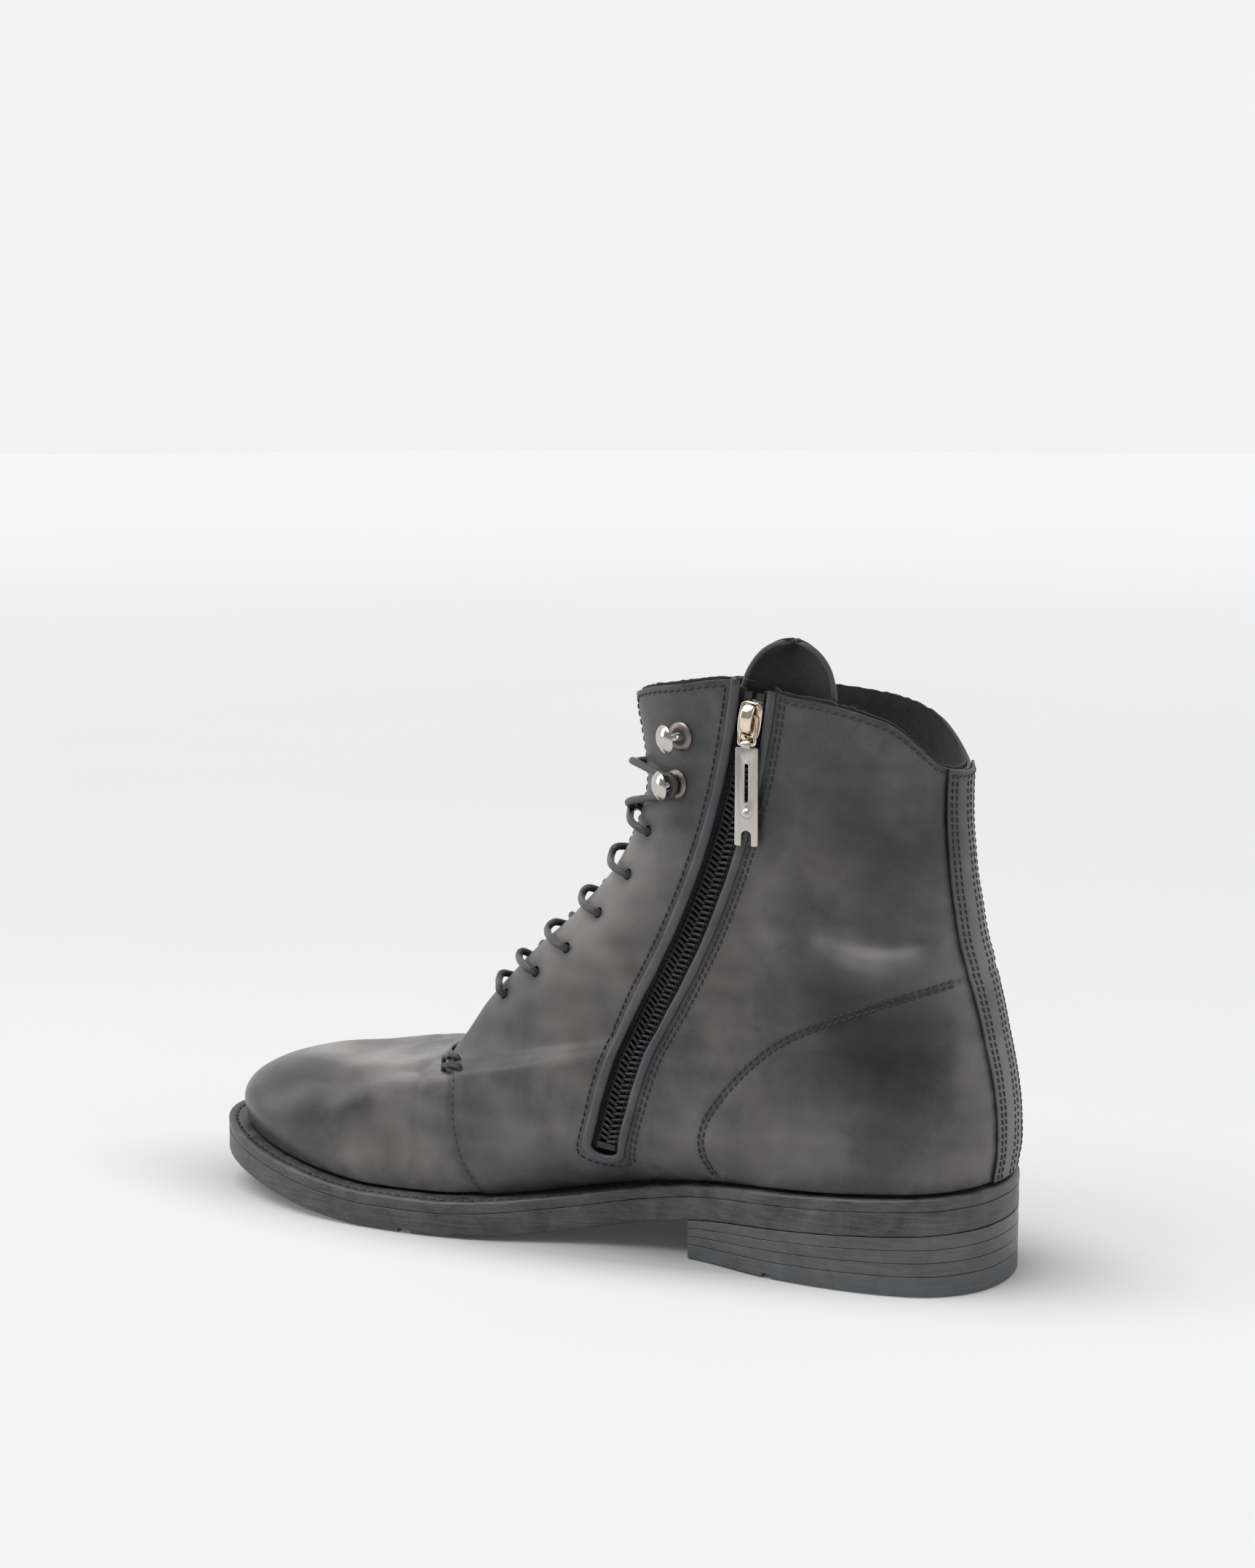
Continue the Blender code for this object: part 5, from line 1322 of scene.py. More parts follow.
def make_quarters(use):
    rows = [np.linspace(0.004, 0.40, 58), np.linspace(0.40, 0.56, 34), np.linspace(0.56, 1, 68)]
    rows = np.unique(np.concatenate([*rows, [0.975, 0.985, 0.992, 0.997]]))
    slot = slot_cutter()
    for side in (-1, 1):
        edge, back = np.array([front_edge(side, w) for w in rows])[:, None], side * 0.003
        grid = face(back + (edge - back) * np.linspace(0, 1, 215), rows[:, None], 0.0)
        holes = hole_cutters(eyelet_places(side), 1.95) + hole_cutters(hook_places(side), 1.6)
        cutter = join("cutters", holes, None)
        cutters = [cutter, slot] if side < 0 else [cutter]
        obj = hide(f"{SIDE_NAME[side]}_quarter", grid, 1.4, use["upper"], 0.4, cutters)
        place(obj, "upper_leather", replaces=(f"quarter_{SIDE_NAME[side]}",))
        remove(cutter)
        # its suede lining, whose raw edge stands just above the collar
        lining_rows = np.linspace(0.004, 1.0, 70)
        grid = []
        for w in lining_rows:
            edge = quarter_front(side, w)
            stop = u_at_x(side, w, THROAT_HALF + 1.4) if w > THROAT_START else edge - side * 0.07
            if w > 0.966:
                stop = min(abs(stop), abs(front_edge(side, w)) - 0.004) * side
            u = side * 0.004 + (stop - side * 0.004) * np.linspace(0, 1, 80)
            deep = -1.75 - 1.9 * (1 - ease(w, 0.82, 0.97))
            deep = deep - 0.6 * (1 - ease(np.abs(u), 0.3, 0.5)) * (1 - ease(w, 0.38, 0.5))
            p = skin(u, np.full(len(u), w), deep + 0.15 * waves(upper(u, np.full(len(u), w)), 3.0, 4))
            if w == 1.0:
                p[:, 2] += 0.9 + 0.25 * waves(p, 2.2, 8)
            grid.append(p)
        holes = hole_cutters(eyelet_places(side), 2.2)
        cutter = join("cutters", holes, None)
        cutters = [cutter]
        if side < 0:
            inner = slot_cutter(6.4)
            cutters.append(inner)
        obj = hide(f"{SIDE_NAME[side]}_suede_lining", grid, 0.9, use["lining"], 0.25, cutters)
        place(obj, "suede_lining", replaces=(f"quarter_lining_{SIDE_NAME[side]}",))
        remove(cutter)
        if side < 0:
            remove(inner)
    remove(slot)


def make_vamp(use):
    rows = np.concatenate([np.linspace(0.004, 0.05, 10), np.linspace(0.06, 0.478, 84)])
    us, offs = [], []
    for w in rows:
        u, off = [], []
        for side in (-1, 1):
            edge = quarter_front(side, min(w, 0.478))
            room = 1 - abs(edge)
            rear = u_at_y(side, w, float(upper(edge, w)[1]) - OVERLAP)
            ahead = np.linspace(0, 1, 130) ** 0.9
            line = rear + (side - rear) * ahead
            past = (np.abs(line) - abs(edge)) / max(room, 1e-6)
            off.append(-1.85 * (1 - ease(past, 0.05, 0.36)))
            u.append(line)
        us.append(np.concatenate([u[0], u[1][-2::-1]]))
        offs.append(np.concatenate([off[0], off[1][-2::-1]]))
    vamp = hide("toe_vamp", face(np.array(us), rows[:, None], np.array(offs)), 1.1, use["toe"], 0.3)
    place(vamp, "upper_leather", replaces=("vamp",))


def strip_u(w, half):
    """u of both edges of a strip up the back, this far from its middle."""
    return [u_at_x(side, w, half, front=False) for side in (-1, 1)]


def make_back_strip(use):
    rows = np.linspace(0.004, 1.0, 150)
    us = []
    for w in rows:
        a, b = strip_u(w, STRIP_HALF)
        us.append(np.concatenate([np.linspace(a, -1e-4, 16), np.linspace(1e-4, b, 16)]))
    x = np.abs(np.linspace(-1, 1, 32))
    off = 1.32 + 0.16 * np.cos(x * math.pi / 2)
    off = off - 0.16 * np.exp(-(((x - 0.80) / 0.07) ** 2)) - 0.10 * np.exp(-((x / 0.08) ** 2))
    grid = face(np.array(us), rows[:, None], np.tile(off, (len(rows), 1)))
    strip = hide("heel_back_strip", grid, 1.0, use["upper"], 0.35)
    place(strip, "upper_leather", replaces=("back_strip",))
    rows = []
    ws = np.linspace(0.006, 0.985, 40)
    for side in (-1, 1):
        for half in (9.9, 7.9):
            u = [u_at_x(side, w, half, front=False) for w in ws]
            rows.append(row_on(u, ws, 1.42))
    for side in (-1, 1):
        u = [u_at_x(side, w, 1.5, front=False) for w in ws]
        rows.append(row_on(u, ws, 1.46))
    a, b = strip_u(0.972, STRIP_HALF - 1.5)
    rows.append(row_on(np.linspace(a, -1e-4, 8), np.full(8, 0.972), 1.46))
    rows.append(row_on(np.linspace(1e-4, b, 8), np.full(8, 0.972), 1.46))
    stitches("back_strip_stitching", rows, use["thread"], 2.3, 1.75, 0.34, 0.1)


def collar_w(u, down):
    """Share of the height that lies this many millimetres below the collar's edge."""
    u = np.asarray(u, float)
    span = np.linalg.norm(upper(u, np.ones(len(u))) - upper(u, np.full(len(u), 0.97)), axis=1)
    return 1 - 0.03 * down / span


def make_seams(use):
    rows = []
    for side in (-1, 1):
        back = u_at_x(side, 0.97, STRIP_HALF + 0.4, front=False)
        if side < 0:
            stop = locate(-1, *chain_at(0.0, 10.0, 2)[1:])[0]
            begin = locate(-1, *chain_at(0.0, -9.6, 2)[1:])[0]
            u = np.linspace(back, stop, 30)
            rows.append(row_on(u, collar_w(u, 1.9)))
        else:
            begin = back
        end = quarter_front(side, 0.96)
        u = np.linspace(begin, end * 0.93, 26)
        w = collar_w(u, 1.9)
        # round the corner and down the facing to the hooks
        down = np.linspace(0.962, 0.60, 26)
        edge = np.array([u_at_x(side, v, THROAT_HALF + 2.0) for v in down])
        rows.append(row_on(u, w))
        corner_u, corner_w = [u[-1], u[-1] + (edge[0] - u[-1]) * 0.55, edge[0]], [w[-1], 0.985, 0.962]
        rows.append(row_on(corner_u, corner_w))
        if side > 0:
            rows.append(row_on(edge, down))
        else:
            rows.append(row_on(edge[:7], down[:7]))
    stitches("collar_stitching", rows, use["thread"], 2.7, 2.0, 0.38, 0.12)

    rows = []
    for side in (-1, 1):
        for shift in (-0.85, 0.85):
            line = through(COUNTER, 6)
            ahead = unit(np.gradient(line, axis=0))
            line = line + np.c_[-ahead[:, 1], ahead[:, 0]] * shift
            if side > 0:
                line = line + (2.0, -2.0)
            line = line[(line[:, 0] > 18.5) | (line[:, 1] < 90)]
            rows.append(row_at(side, even(through(line[::3], 6), 34)))
    stitches("counter_stitching", rows, use["thread"], 2.6, 1.95, 0.37, 0.08)

    rows = []
    ws = np.linspace(0.008, 0.30, 30)
    for side in (-1, 1):
        u = [u_at_y(side, w, float(smooth(w, QUARTER_EDGE)) - 0.9) for w in ws]
        rows.append(row_on(u, ws))
        top = np.linspace(0.43, 0.475, 8)
        u = [u_at_y(side, w, float(smooth(w, QUARTER_EDGE)) - 0.9) for w in top]
        rows.append(row_on(u, top))
    stitches("vamp_seam_stitching", rows, use["thread"], 2.6, 1.5, 0.24, -0.02)

    rows = []
    for across in (-9.9, 9.3, 10.9):
        rows.append(row_at(-1, [chain_at(run, across, 2)[1:] for run in np.linspace(-1.5, U_TURN + 3.0, 34)]))
    turn = []
    for a in np.linspace(0, math.pi, 9):
        across, run = -9.9 * math.cos(a), U_TURN + 3.0 + 4.2 * math.sin(a) ** 0.8
        turn.append(chain_at(min(run, ZIP_LENGTH + 6), across, 2)[1:])
    rows.append(row_at(-1, turn))
    stitches("zip_stitching", rows, use["thread"], 2.6, 1.95, 0.38, 0.12)


def make_tongue(use):
    grid = []
    for w in np.linspace(0.52, 0.985, 70):
        half = 15.5 + 3.0 * float(ease(w, 0.6, 0.9))
        if w > 0.95:
            half -= 6 * ((w - 0.95) / 0.035) ** 2
        u = vamp_row(w, lambda side, w: u_at_x(side, w, half), 44)
        p = skin(u, np.full(len(u), w), np.full(len(u), -9.5))
        grid.append(p + normal(u, np.full(len(u), w)) * (0.25 * waves(p, 16, 2))[:, None])
    tongue = hide("leather_tongue", grid, 1.4, use["upper"], 0.4)
    place(tongue, "upper_leather", "tongue", ("tongue",))


def make_counter_parts(use, frame):
    finishes = {
        "cork_filler": "cork", "shank": "steel", "insole_board": "board", "sock_liner": "sock",
        "vamp_lining": "lining", "toe_puff": "stiff", "heel_counter": "stiff", "zip_bottom_stop": "coil",
        "zip_top_stop_front": "coil", "zip_top_stop_rear": "coil",
    }
    for i in range(5):
        finishes[f"heel_nail_{i + 1}"] = "steel"
    for name in SIDE_NAME.values():
        for level in ("lower", "upper"):
            finishes[f"hook_washer_{name}_{level}"] = "aged"
    for name, finish in finishes.items():
        obj = frame["nodes"][name]
        if not obj.material_slots:
            obj.data.materials.append(use[finish])
        for slot in obj.material_slots:
            slot.link = "OBJECT"
            slot.material = use[finish]


# ---------------------------------------------------------------- zip
# One turn of the coil: places to the tape's side, down the chain and out of it.
TOOTH = (
    (3.75, -0.55, -0.55), (3.95, -0.30, 0.05), (3.45, 0.05, 0.62), (2.3, 0.42, 0.72), (1.0, 0.82, 0.70),
    (0.05, 1.10, 0.45), (-0.35, 1.12, -0.1), (0.2, 0.95, -0.55),
)


def on_leather(run, across, off):
    """A place on the quarter beside the chain."""
    at = chain_at(run, across, 2.0)
    u, w = locate(-1, at[1], at[2])
    return face(u, w, off), normal(u, w)


def make_zip(use):
    for side, name in ((-1, "front"), (1, "rear")):
        loops = []
        for run in np.linspace(-1.5, ZIP_LENGTH + 1.0, 120):
            a, b = side * 3.0, side * 11.0
            ripple = 0.04 * math.sin(run * 2.9)
            section = [chain_at(run, a + (b - a) * t, 0.35 + ripple) for t in (0, 0.33, 0.66, 1)]
            section += [chain_at(run, a + (b - a) * t, -0.35) for t in (1, 0.66, 0.33, 0)]
            loops.append(np.array(section))
        tape = solid_loops(f"woven_tape_{name}", loops, use["tape"])
        tape.data.uv_layers.new(name="UVMap")
        layer = tape.data.uv_layers[0]
        for loop in tape.data.loops:
            v = tape.data.vertices[loop.vertex_index].co
            layer.data[loop.index].uv = (v.y * 1000 + v.x * 300, v.z * 1000)
        settle(tape, 60)
        place(tape, "zip_tape", replaces=(f"zip_tape_{name}",))
        teeth = []
        first, last = 2.6, ZIP_LENGTH - 3.4
        count = int((last - first) / 2.0)
        for i in range(count):
            run = first + (last - first) * (i + (0.5 if side > 0 else 0.0)) / count
            path = []
            for across, ahead, out in TOOTH:
                path.append(chain_at(run + ahead, side * across, out))
            teeth.append(rod("tooth", through(path, 2), 0.56, None, 7, False))
            sew = [
                chain_at(run + ahead, side * across, out)
                for ahead, across, out in ((-0.25, 2.95, 1.12), (0.5, 2.75, 1.36), (1.3, 2.95, 1.12))
            ]
            teeth.append(rod("sew", through(sew, 2), 0.2, None, 5, False))
        coil = join(f"nylon_coil_{name}", teeth, use["coil"])
        coil.data.shade_smooth()
        place(coil, "zip_coil", replaces=(f"zip_coil_{name}",))
    # the rolled leather edge: down the front, round the bottom and up the rear
    path, out, size = [], [], []
    for run in np.linspace(-3.9, U_TURN, 70):
        p, n = on_leather(run, -6.5, 0.0)
        path.append(p), out.append(n), size.append((1.8, 1.3))
    for angle in np.linspace(0, math.pi, 16)[1:-1]:
        p, n = on_leather(U_TURN + 4.6 * math.sin(angle), -6.5 * math.cos(angle), 0.0)
        path.append(p), out.append(n), size.append((1.75, 1.3))
    for run in np.linspace(U_TURN, -3.6, 70):
        p, n = on_leather(run, 6.35, 0.0)
        path.append(p), out.append(n), size.append((1.6, 1.25))
    path, size = np.array(path), np.array(size)
    size = size * (1 + 0.05 * waves(path, 14, 2))[:, None]
    roll = rod("rolled_zip_edge", path, size, use["roll"], 18, True, flat=np.array(out))
    place(roll, "upper_leather", replaces=("zip_roll",))
    make_guard(use)


def guard_row(run, count, off=0.0):
    widen = 1 - float(ease(run, 0, 40))
    front, rear = -8.5, 11.0 + 14.0 * widen
    if run < 0:
        squeeze = math.sqrt(max(0.004, 1 - (run / -17.5) ** 2))
        middle = (front + 2.5 + rear) / 2
        half = (rear - front - 2.5) / 2 * squeeze
        front, rear = middle - half, middle + half
    row = []
    for t in np.linspace(0, 1, count):
        curl = 3.2 * math.sin(math.pi * t) * widen
        row.append(chain_at(run, front + (rear - front) * t, -3.8 - curl + off))
    return row


def make_guard(use):
    runs = -17.45 * np.sin(np.linspace(math.pi / 2, 0, 26)), np.linspace(0.6, ZIP_LENGTH - 2, 80)
    grid = [guard_row(run, 30) for run in np.concatenate(runs)]
    guard = hide("suede_zip_guard", grid, 1.2, use["lining"], 0.3)
    place(guard, "suede_lining", replaces=("zip_guard",))
    # smooth leather shows round the flap's free top, where its edge is turned
    rim = [guard_row(run, 2, -0.6)[0] for run in np.linspace(9, -17.3, 34)]
    rim += guard_row(-17.4, 5, -0.6)[1:-1]
    rim += [guard_row(run, 2, -0.6)[1] for run in np.linspace(-17.3, 9, 34)]
    rim = even(np.array(rim), 90)
    for _ in range(3):
        rim[1:-1] = (rim[:-2] + 2 * rim[1:-1] + rim[2:]) / 4
    edge = rod("guard_turned_edge", rim, 0.95 + 0.05 * waves(rim, 8, 1), use["roll"], 12, True)
    place(edge, "upper_leather")
    runs = -16.6 * np.sin(np.linspace(math.pi / 2, 0, 16)), np.linspace(1, 40, 16)
    back = [guard_row(run, 26, -1.5) for run in np.concatenate(runs)]
    place(hide("guard_leather_back", back, 0.5, use["roll"], 0.1), "upper_leather")


def rounded_section(place_at, half, low, high, at, corner=0.5, steps=4):
    """A rounded rectangle across the chain at one place along it."""
    corner = min(corner, half * 0.95, (high - low) / 2 * 0.95)
    points = []
    for cx, cz, start_angle in (
        (half - corner, high - corner, 0), (-half + corner, high - corner, 90),
        (-half + corner, low + corner, 180), (half - corner, low + corner, 270),
    ):
        for k in range(steps + 1):
            a = math.radians(start_angle + 90 * k / steps)
            points.append(place_at((cx + corner * math.cos(a), at, cz + corner * math.sin(a))))
    return np.array(points)


def squared(value, power):
    """A cosine or sine raised to a power under 1 with its sign kept, which squares a circle off."""
    return math.copysign(abs(value) ** power, value)


def make_slider(use):
    at = local_frame(SLIDER_AT)
    # its plan: places along the chain, and the half-width there
    plan = (
        (-6.3, 2.2), (-6.0, 3.1), (-5.0, 3.9), (-2.0, 4.15), (1.0, 4.2), (4.0, 3.9), (5.7, 3.2), (6.3, 2.0),
    )
    plan = [tuple(p) for p in even(through(plan, 6), 26)]
    top = []
    for a, h in plan:
        dome = 0.32 * math.cos(a / 6.4 * math.pi / 2)
        top.append(rounded_section(at, h, 1.62, 2.72 + dome, a, 0.55))
    pieces = [solid_loops("top", top, None)]
    low = [rounded_section(at, h - 0.25, -2.5, -1.62, a, 0.4) for a, h in plan]
    pieces.append(solid_loops("low", low, None))
    for side in (-1, 1):
        flange = []
        for a, h in plan[12:]:
            beside = lambda p: at((p[0] + side * (h - 0.75), p[1], p[2]))
            flange.append(rounded_section(beside, 0.42, 1.0, 1.9, a, 0.2, 2))
        pieces.append(solid_loops("flange", flange, None))
    post = [rounded_section(at, 0.42, -2.2, 2.2, a, 0.2, 2) for a in (-5.4, -0.5)]
    pieces.append(solid_loops("post", post, None))
    # its bridge: places along the chain and out of it
    path = (
        (-5.3, 2.2), (-5.35, 3.6), (-4.6, 5.1), (-2.6, 6.2), (-0.2, 6.35), (2.0, 5.7), (3.7, 4.3), (4.4, 2.3),
    )
    path = through(path, 5)
    loops = []
    ahead = unit(np.gradient(path, axis=0))
    for i, ((a, n), (da, dn)) in enumerate(zip(path, ahead)):
        share = i / (len(path) - 1)
        wide = 1.45 + 0.55 * math.sin(math.pi * share) ** 1.5 + 0.7 * (1 - share) ** 3
        thick = 0.62 - 0.05 * math.sin(math.pi * share)
        ring = []
        for k in range(20):
            angle = 2 * math.pi * k / 20
            x, t = wide * squared(math.cos(angle), 0.7), thick * squared(math.sin(angle), 0.8)
            ring.append(at((x, a - dn * t, n + da * t)))
        loops.append(np.array(ring))
    pieces.append(solid_loops("bridge", loops, None))
    slider = join("polished_slider", pieces, use["nickel"])
    shade(slider.data, 55)
    place(slider, "polished_nickel", "slider", ("zip_slider",))
    return at((0, -1.6, 4.15))


def make_pull(use, bridge):
    lower = bridge + np.array((-1.3, 0.0, -8.8))
    loop = []
    for end, start_angle in (((1, 0), 0), ((1, 1), 1), ((-1, 1), 2), ((-1, 0), 3)):
        centre = (bridge, lower)[end[1]] + np.array((0, end[0] * 1.95, (-0.8, 0.8)[end[1]]))
        for step in np.linspace(0, 1, 7):
            angle = math.pi / 2 * (1 - start_angle - step)
            loop.append(centre + 0.8 * np.array((0, math.cos(angle), math.sin(angle))))
    link = rod("pull_link", loop, 0.62, use["nickel"], 14, False, closed=True)
    place(link, "brushed_nickel", "link", ("zip_link",))
    tab_x, y = lower[0] + 0.35, lower[1]
    top = lower[2] - 0.9
    # the tab: a stamped blade, a little wider at its foot, its edge rounded round the notch of the foot
    edge = [(-3.55, 0), (3.55, 0), (3.9, -0.5), (3.95, -16), (4.05, -31.4), (3.7, -32.0)]
    edge += [(1.75, -32.0), (1.7, -29.3)]
    for a in np.radians((20, 45, 70, 90, 110, 135, 160)):
        edge.append((1.75 * math.cos(a), -28.7 + 1.75 * math.sin(a)))
    edge += [(-1.7, -29.3), (-1.75, -32.0), (-3.7, -32.0), (-4.05, -31.4), (-3.95, -16), (-3.9, -0.5)]
    edge = np.array(edge)
    count = len(edge)
    points = [(tab_x + d, y + a, top + b) for d in (-0.6, 0.6) for a, b in edge]
    faces = [tuple(range(count)), tuple(count + k for k in reversed(range(count)))]
    faces += band(0, count, count)
    tab = outwards(new_object("brushed_pull_tab", points, faces, use["brushed"]))
    slot = []
    for d in (-3, 3):
        ring = []
        for t in np.linspace(0, 2 * math.pi, 24, endpoint=False):
            end = 5.6 if math.sin(t) > 0 else -5.6
            ring.append((tab_x + d, y + 0.62 * math.cos(t), top - 11.5 + end + 0.62 * math.sin(t)))
        slot.append(np.array(ring))
    slot = solid_loops("cutter", slot, None)
    cut(tab, slot)
    soften(tab, 0.16, 50)
    settle(tab, 35)
    remove(slot)
    profile = ((0.98, 1.5), (1.4, 1.5), (1.55, 1.35), (1.55, -1.35), (1.4, -1.5), (0.98, -1.5))
    barrel = lathe("barrel", lower, (0, 1, 0), profile, None, 24)
    panel_frame = []
    for a in np.linspace(0, 2 * math.pi, 40, endpoint=False):
        c, s = squared(math.cos(a), 0.5), squared(math.sin(a), 0.25)
        panel_frame.append((tab_x - 0.62, y + 1.25 * c, top - 11.5 + 7.0 * s))
    lip = rod("lip", panel_frame, 0.13, None, 6, False, closed=True)
    tab = join("brushed_pull_tab", [tab, barrel, lip], use["brushed"])
    place(tab, "brushed_nickel", "pull", ("pull_tab",))
    rivet = lathe(
        "pull_dome_rivet", (tab_x, y, top - 21.5), (-1, 0, 0),
        (
            (0.0, 1.55), (0.5, 1.5), (1.0, 1.33), (1.45, 1.05), (1.75, 0.72), (1.8, 0.6),
            (0.85, 0.55), (0.85, -0.5), (1.3, -0.62), (1.2, -0.8), (0.0, -0.85),
        ),
        use["brushed"], 32,
    )
    place(rivet, "polished_nickel", "pull", ("pull_rivet",))


# ---------------------------------------------------------------- hooks, lace and hand stitches
# Turned profiles of a hook: radius and height, from the top down.
HOOK_BASE = (
    (1.4, 1.5), (2.6, 1.42), (3.9, 1.2), (4.55, 0.85), (4.8, 0.45), (4.7, 0.2), (1.5, 0.15), (1.3, -2.7),
)
HOOK_HEAD = (
    (0.0, 1.95), (1.2, 1.88), (2.4, 1.62), (3.5, 1.15), (4.4, 0.55), (4.95, -0.05), (4.98, -0.3),
    (4.6, -0.62), (3.2, -0.8), (1.2, -0.85),
)


def make_hooks(use):
    for side, name in SIDE_NAME.items():
        for spot, level in zip(hook_places(side), ("lower", "upper")):
            root, out, forward, _ = hook_frame(side, spot)
            base = lathe(
                f"hook_base_{name}_{level}", root, out,
                HOOK_BASE, use["aged"],
            )
            place(base, "steel")
            head_at = root + out * HEAD_STAND + forward * HEAD_SHIFT
            head = lathe("head", head_at, out + forward * 0.4, HOOK_HEAD, None)
            bends = [root + out * a + forward * b for a, b in ((0.8, 0.0), (2.4, 0.15), (4.2, 1.2))]
            stem = rod("stem", through((*bends, head_at), 5), 1.55, None, 18, False)
            stem.data.uv_layers.remove(stem.data.uv_layers[0])
            hook = join(f"speed_hook_{name}_{level}", [head, stem], use["hook"])
            hook.data.set_sharp_from_angle(angle=math.radians(50))
            place(hook, "polished_nickel", replaces=(f"hook_{name}_{level}",))


def make_lace(use):
    first, second = lace_half(-1), lace_half(1)
    _, w = eyelet_places(-1)[0]
    whole = np.array([*first[::-1], skin(1.0, w, -6.2), *second])
    path = through(whole, 7)
    path = even(path, int(np.linalg.norm(np.diff(path, axis=0), axis=1).sum() / 0.9))
    lace = rod("round_waxed_lace", path, 1.27 + 0.03 * waves(path, 5, 4), use["lace"])
    place(lace, "waxed_lace", replaces=("lace",))
    for points in (first, second):
        end = np.array(points[-1])
        ahead = end - np.array(points[-2])
        ahead /= np.linalg.norm(ahead)
        other = "lateral" if end[0] > 0 else "medial"
        bends = (0.3, 0.0), (3.5, -0.9), (7.0, -2.0)
        path = even(np.array([end + ahead * run + (0, bend, 0) for run, bend in bends]), 9)
        tip = rod(f"lace_tip_{other}", path, 1.42, use["plastic"], 14)
        place(tip, "steel", replaces=(f"aglet_{other}",))


def make_bar_tacks(use):
    for side, name in SIDE_NAME.items():
        pieces = []
        for w, tilt in ((0.418, 1.0), (0.400, 1.0), (0.334, 0.9), (0.316, 0.9)):
            edge = float(smooth(w, QUARTER_EDGE))
            path = []
            for t in np.linspace(-1, 1, 11):
                y = edge + 4.6 * t
                sink = 1.5 * max(0.0, abs(t) - 0.8) / 0.2
                at = w + 0.012 * t * tilt
                off = 0.95 + 0.35 * math.cos(t * math.pi / 2) - sink - (0.9 if t > 0.2 else 0.0)
                path.append(face(u_at_y(side, at, y), at, off))
            pieces.append(rod("tack", np.array(path), 0.72, None, 10))
        for shift in (-1.3, 0.6):
            path = []
            for w in np.linspace(0.335, 0.398, 9):
                u = u_at_y(side, w, float(smooth(w, QUARTER_EDGE)) + shift)
                path.append(face(u, w, 0.35 if shift < 0 else -0.35))
            pieces.append(rod("tack", np.array(path), 0.5, None, 8))
        tack = join(f"hand_stitch_{name}", pieces, use["stitch"])
        tack.data.shade_smooth()
        place(tack, "thread", replaces=(f"bar_tack_{name}",))


# ---------------------------------------------------------------- burnish and painted shade along seams
def seam_shade_and_burnish():
    """Places on the leather that are darker along a seam, edge or groove, partly burnish and partly painted
    shade: point, how strongly and how far, in millimetres.
    """
    marks = []
    for side in (-1, 1):
        # painted shade in the groove of the counter's stitched seam
        line = np.array(COUNTER, float) + ((2.0, -2.0) if side > 0 else (0, 0))
        for p in even(through(line, 6), 70):
            marks.append((upper(*locate(side, *p)), 0.75, 1.15))
        # painted shadow along the back strip's edges, and painted shade in the groove between its rows of
        # stitches
        for w in np.linspace(0.01, 1, 90):
            for half, amount, width in ((STRIP_HALF + 0.3, 0.8, 1.2), (9.0, 0.45, 1.0)):
                marks.append((upper(u_at_x(side, w, half, front=False), w), amount, width))
        # painted shadow of the quarter's edge on the vamp just in front of it
        for w in np.linspace(0.006, 0.48, 70):
            u = u_at_y(side, w, float(smooth(w, QUARTER_EDGE)) + 0.8)
            marks.append((upper(u, w), 1.0, 1.7))
        for w in np.linspace(0.49, 1, 60):
            marks.append((upper(quarter_front(side, w), w), 0.45, 1.8))
        for u in side * np.linspace(0.01, 0.97, 120):
            marks.append((upper(u, 1.0), 0.7, 1.7))
            marks.append((upper(u, 0.0), 0.9, 3.6))
        for u, w in eyelet_places(side):
            marks.append((upper(u, w), 0.8, 3.0))
    # painted shade in the gaps between the rolled zip edges and the leather
    for run in np.linspace(-2, ZIP_LENGTH + 3, 80):
        for across in (-8.6, 8.6):
            marks.append((upper(*locate(-1, *chain_at(run, across, 2.0)[1:])), 0.6, 1.1))
    return marks


# Soft darker and lighter patches: a point on the last, its radius and how dark.
# The darker ones low on the toe's medial side, by its dent, are painted shade; the rest make the tone uneven.
# The lighter ones on the toe's top and behind it, along the ledge of the medial ankle crease, on the medial
# facing and up the back strip are painted highlights.
PATCHES_AND_PAINTED_LIGHT = (
    ((-30, 44, 83), 19, 1.0), ((-29, 30, 66), 16, 0.7), ((-20, 28, 142), 24, 0.75),
    ((-29, 52, 150), 14, 0.35), ((-29, 58, 100), 13, 0.45), ((-30, 70, 158), 18, 0.22),
    ((-13, 268, 42), 12, 1.0), ((-24, 250, 41), 12, 1.0), ((-29, 234, 40), 9, 0.8), ((3, 262, 50), 14, -1.0),
    ((3, 292, 32), 13, 0.45), ((-20, 288, 30), 11, 0.35), ((-34, 64, 47), 16, -0.42),
    ((-33, 100, 44), 15, -0.28), ((-30, 59, 112), 5, -0.6), ((-29, 50, 109), 6, -0.95),
    ((-27, 41, 108), 6, -0.95), ((-24, 33, 109), 5, -0.6), ((-34, 170, 34), 20, -0.28),
    ((-30, 90, 118), 16, -0.22), ((-8, 240, 52), 16, -0.6), ((-30, 150, 74), 20, -0.12),
    ((-26, 45, 150), 9, -0.18), ((0, 4, 130), 34, -0.8), ((0, 2, 60), 34, -0.8), ((-20, 160, 105), 24, -0.62),
    ((-20, 138, 138), 20, -0.6), ((-14, 218, 52), 14, -0.45), ((-26, 140, 118), 22, -0.3),
    ((-34, 222, 34), 20, -0.35), ((31, 50, 83), 18, 0.6), ((30, 60, 50), 15, -0.3), ((40, 230, 28), 18, -0.2),
    ((20, 265, 42), 12, 0.7), ((30, 100, 120), 20, -0.2), ((28, 120, 160), 16, 0.25),
    ((42, 180, 30), 18, 0.2), ((-24, 120, 172), 13, 0.18),
)


PAINTED = (
    "medial_quarter", "lateral_quarter", "toe_vamp", "heel_back_strip", "leather_tongue", "rolled_zip_edge",
)


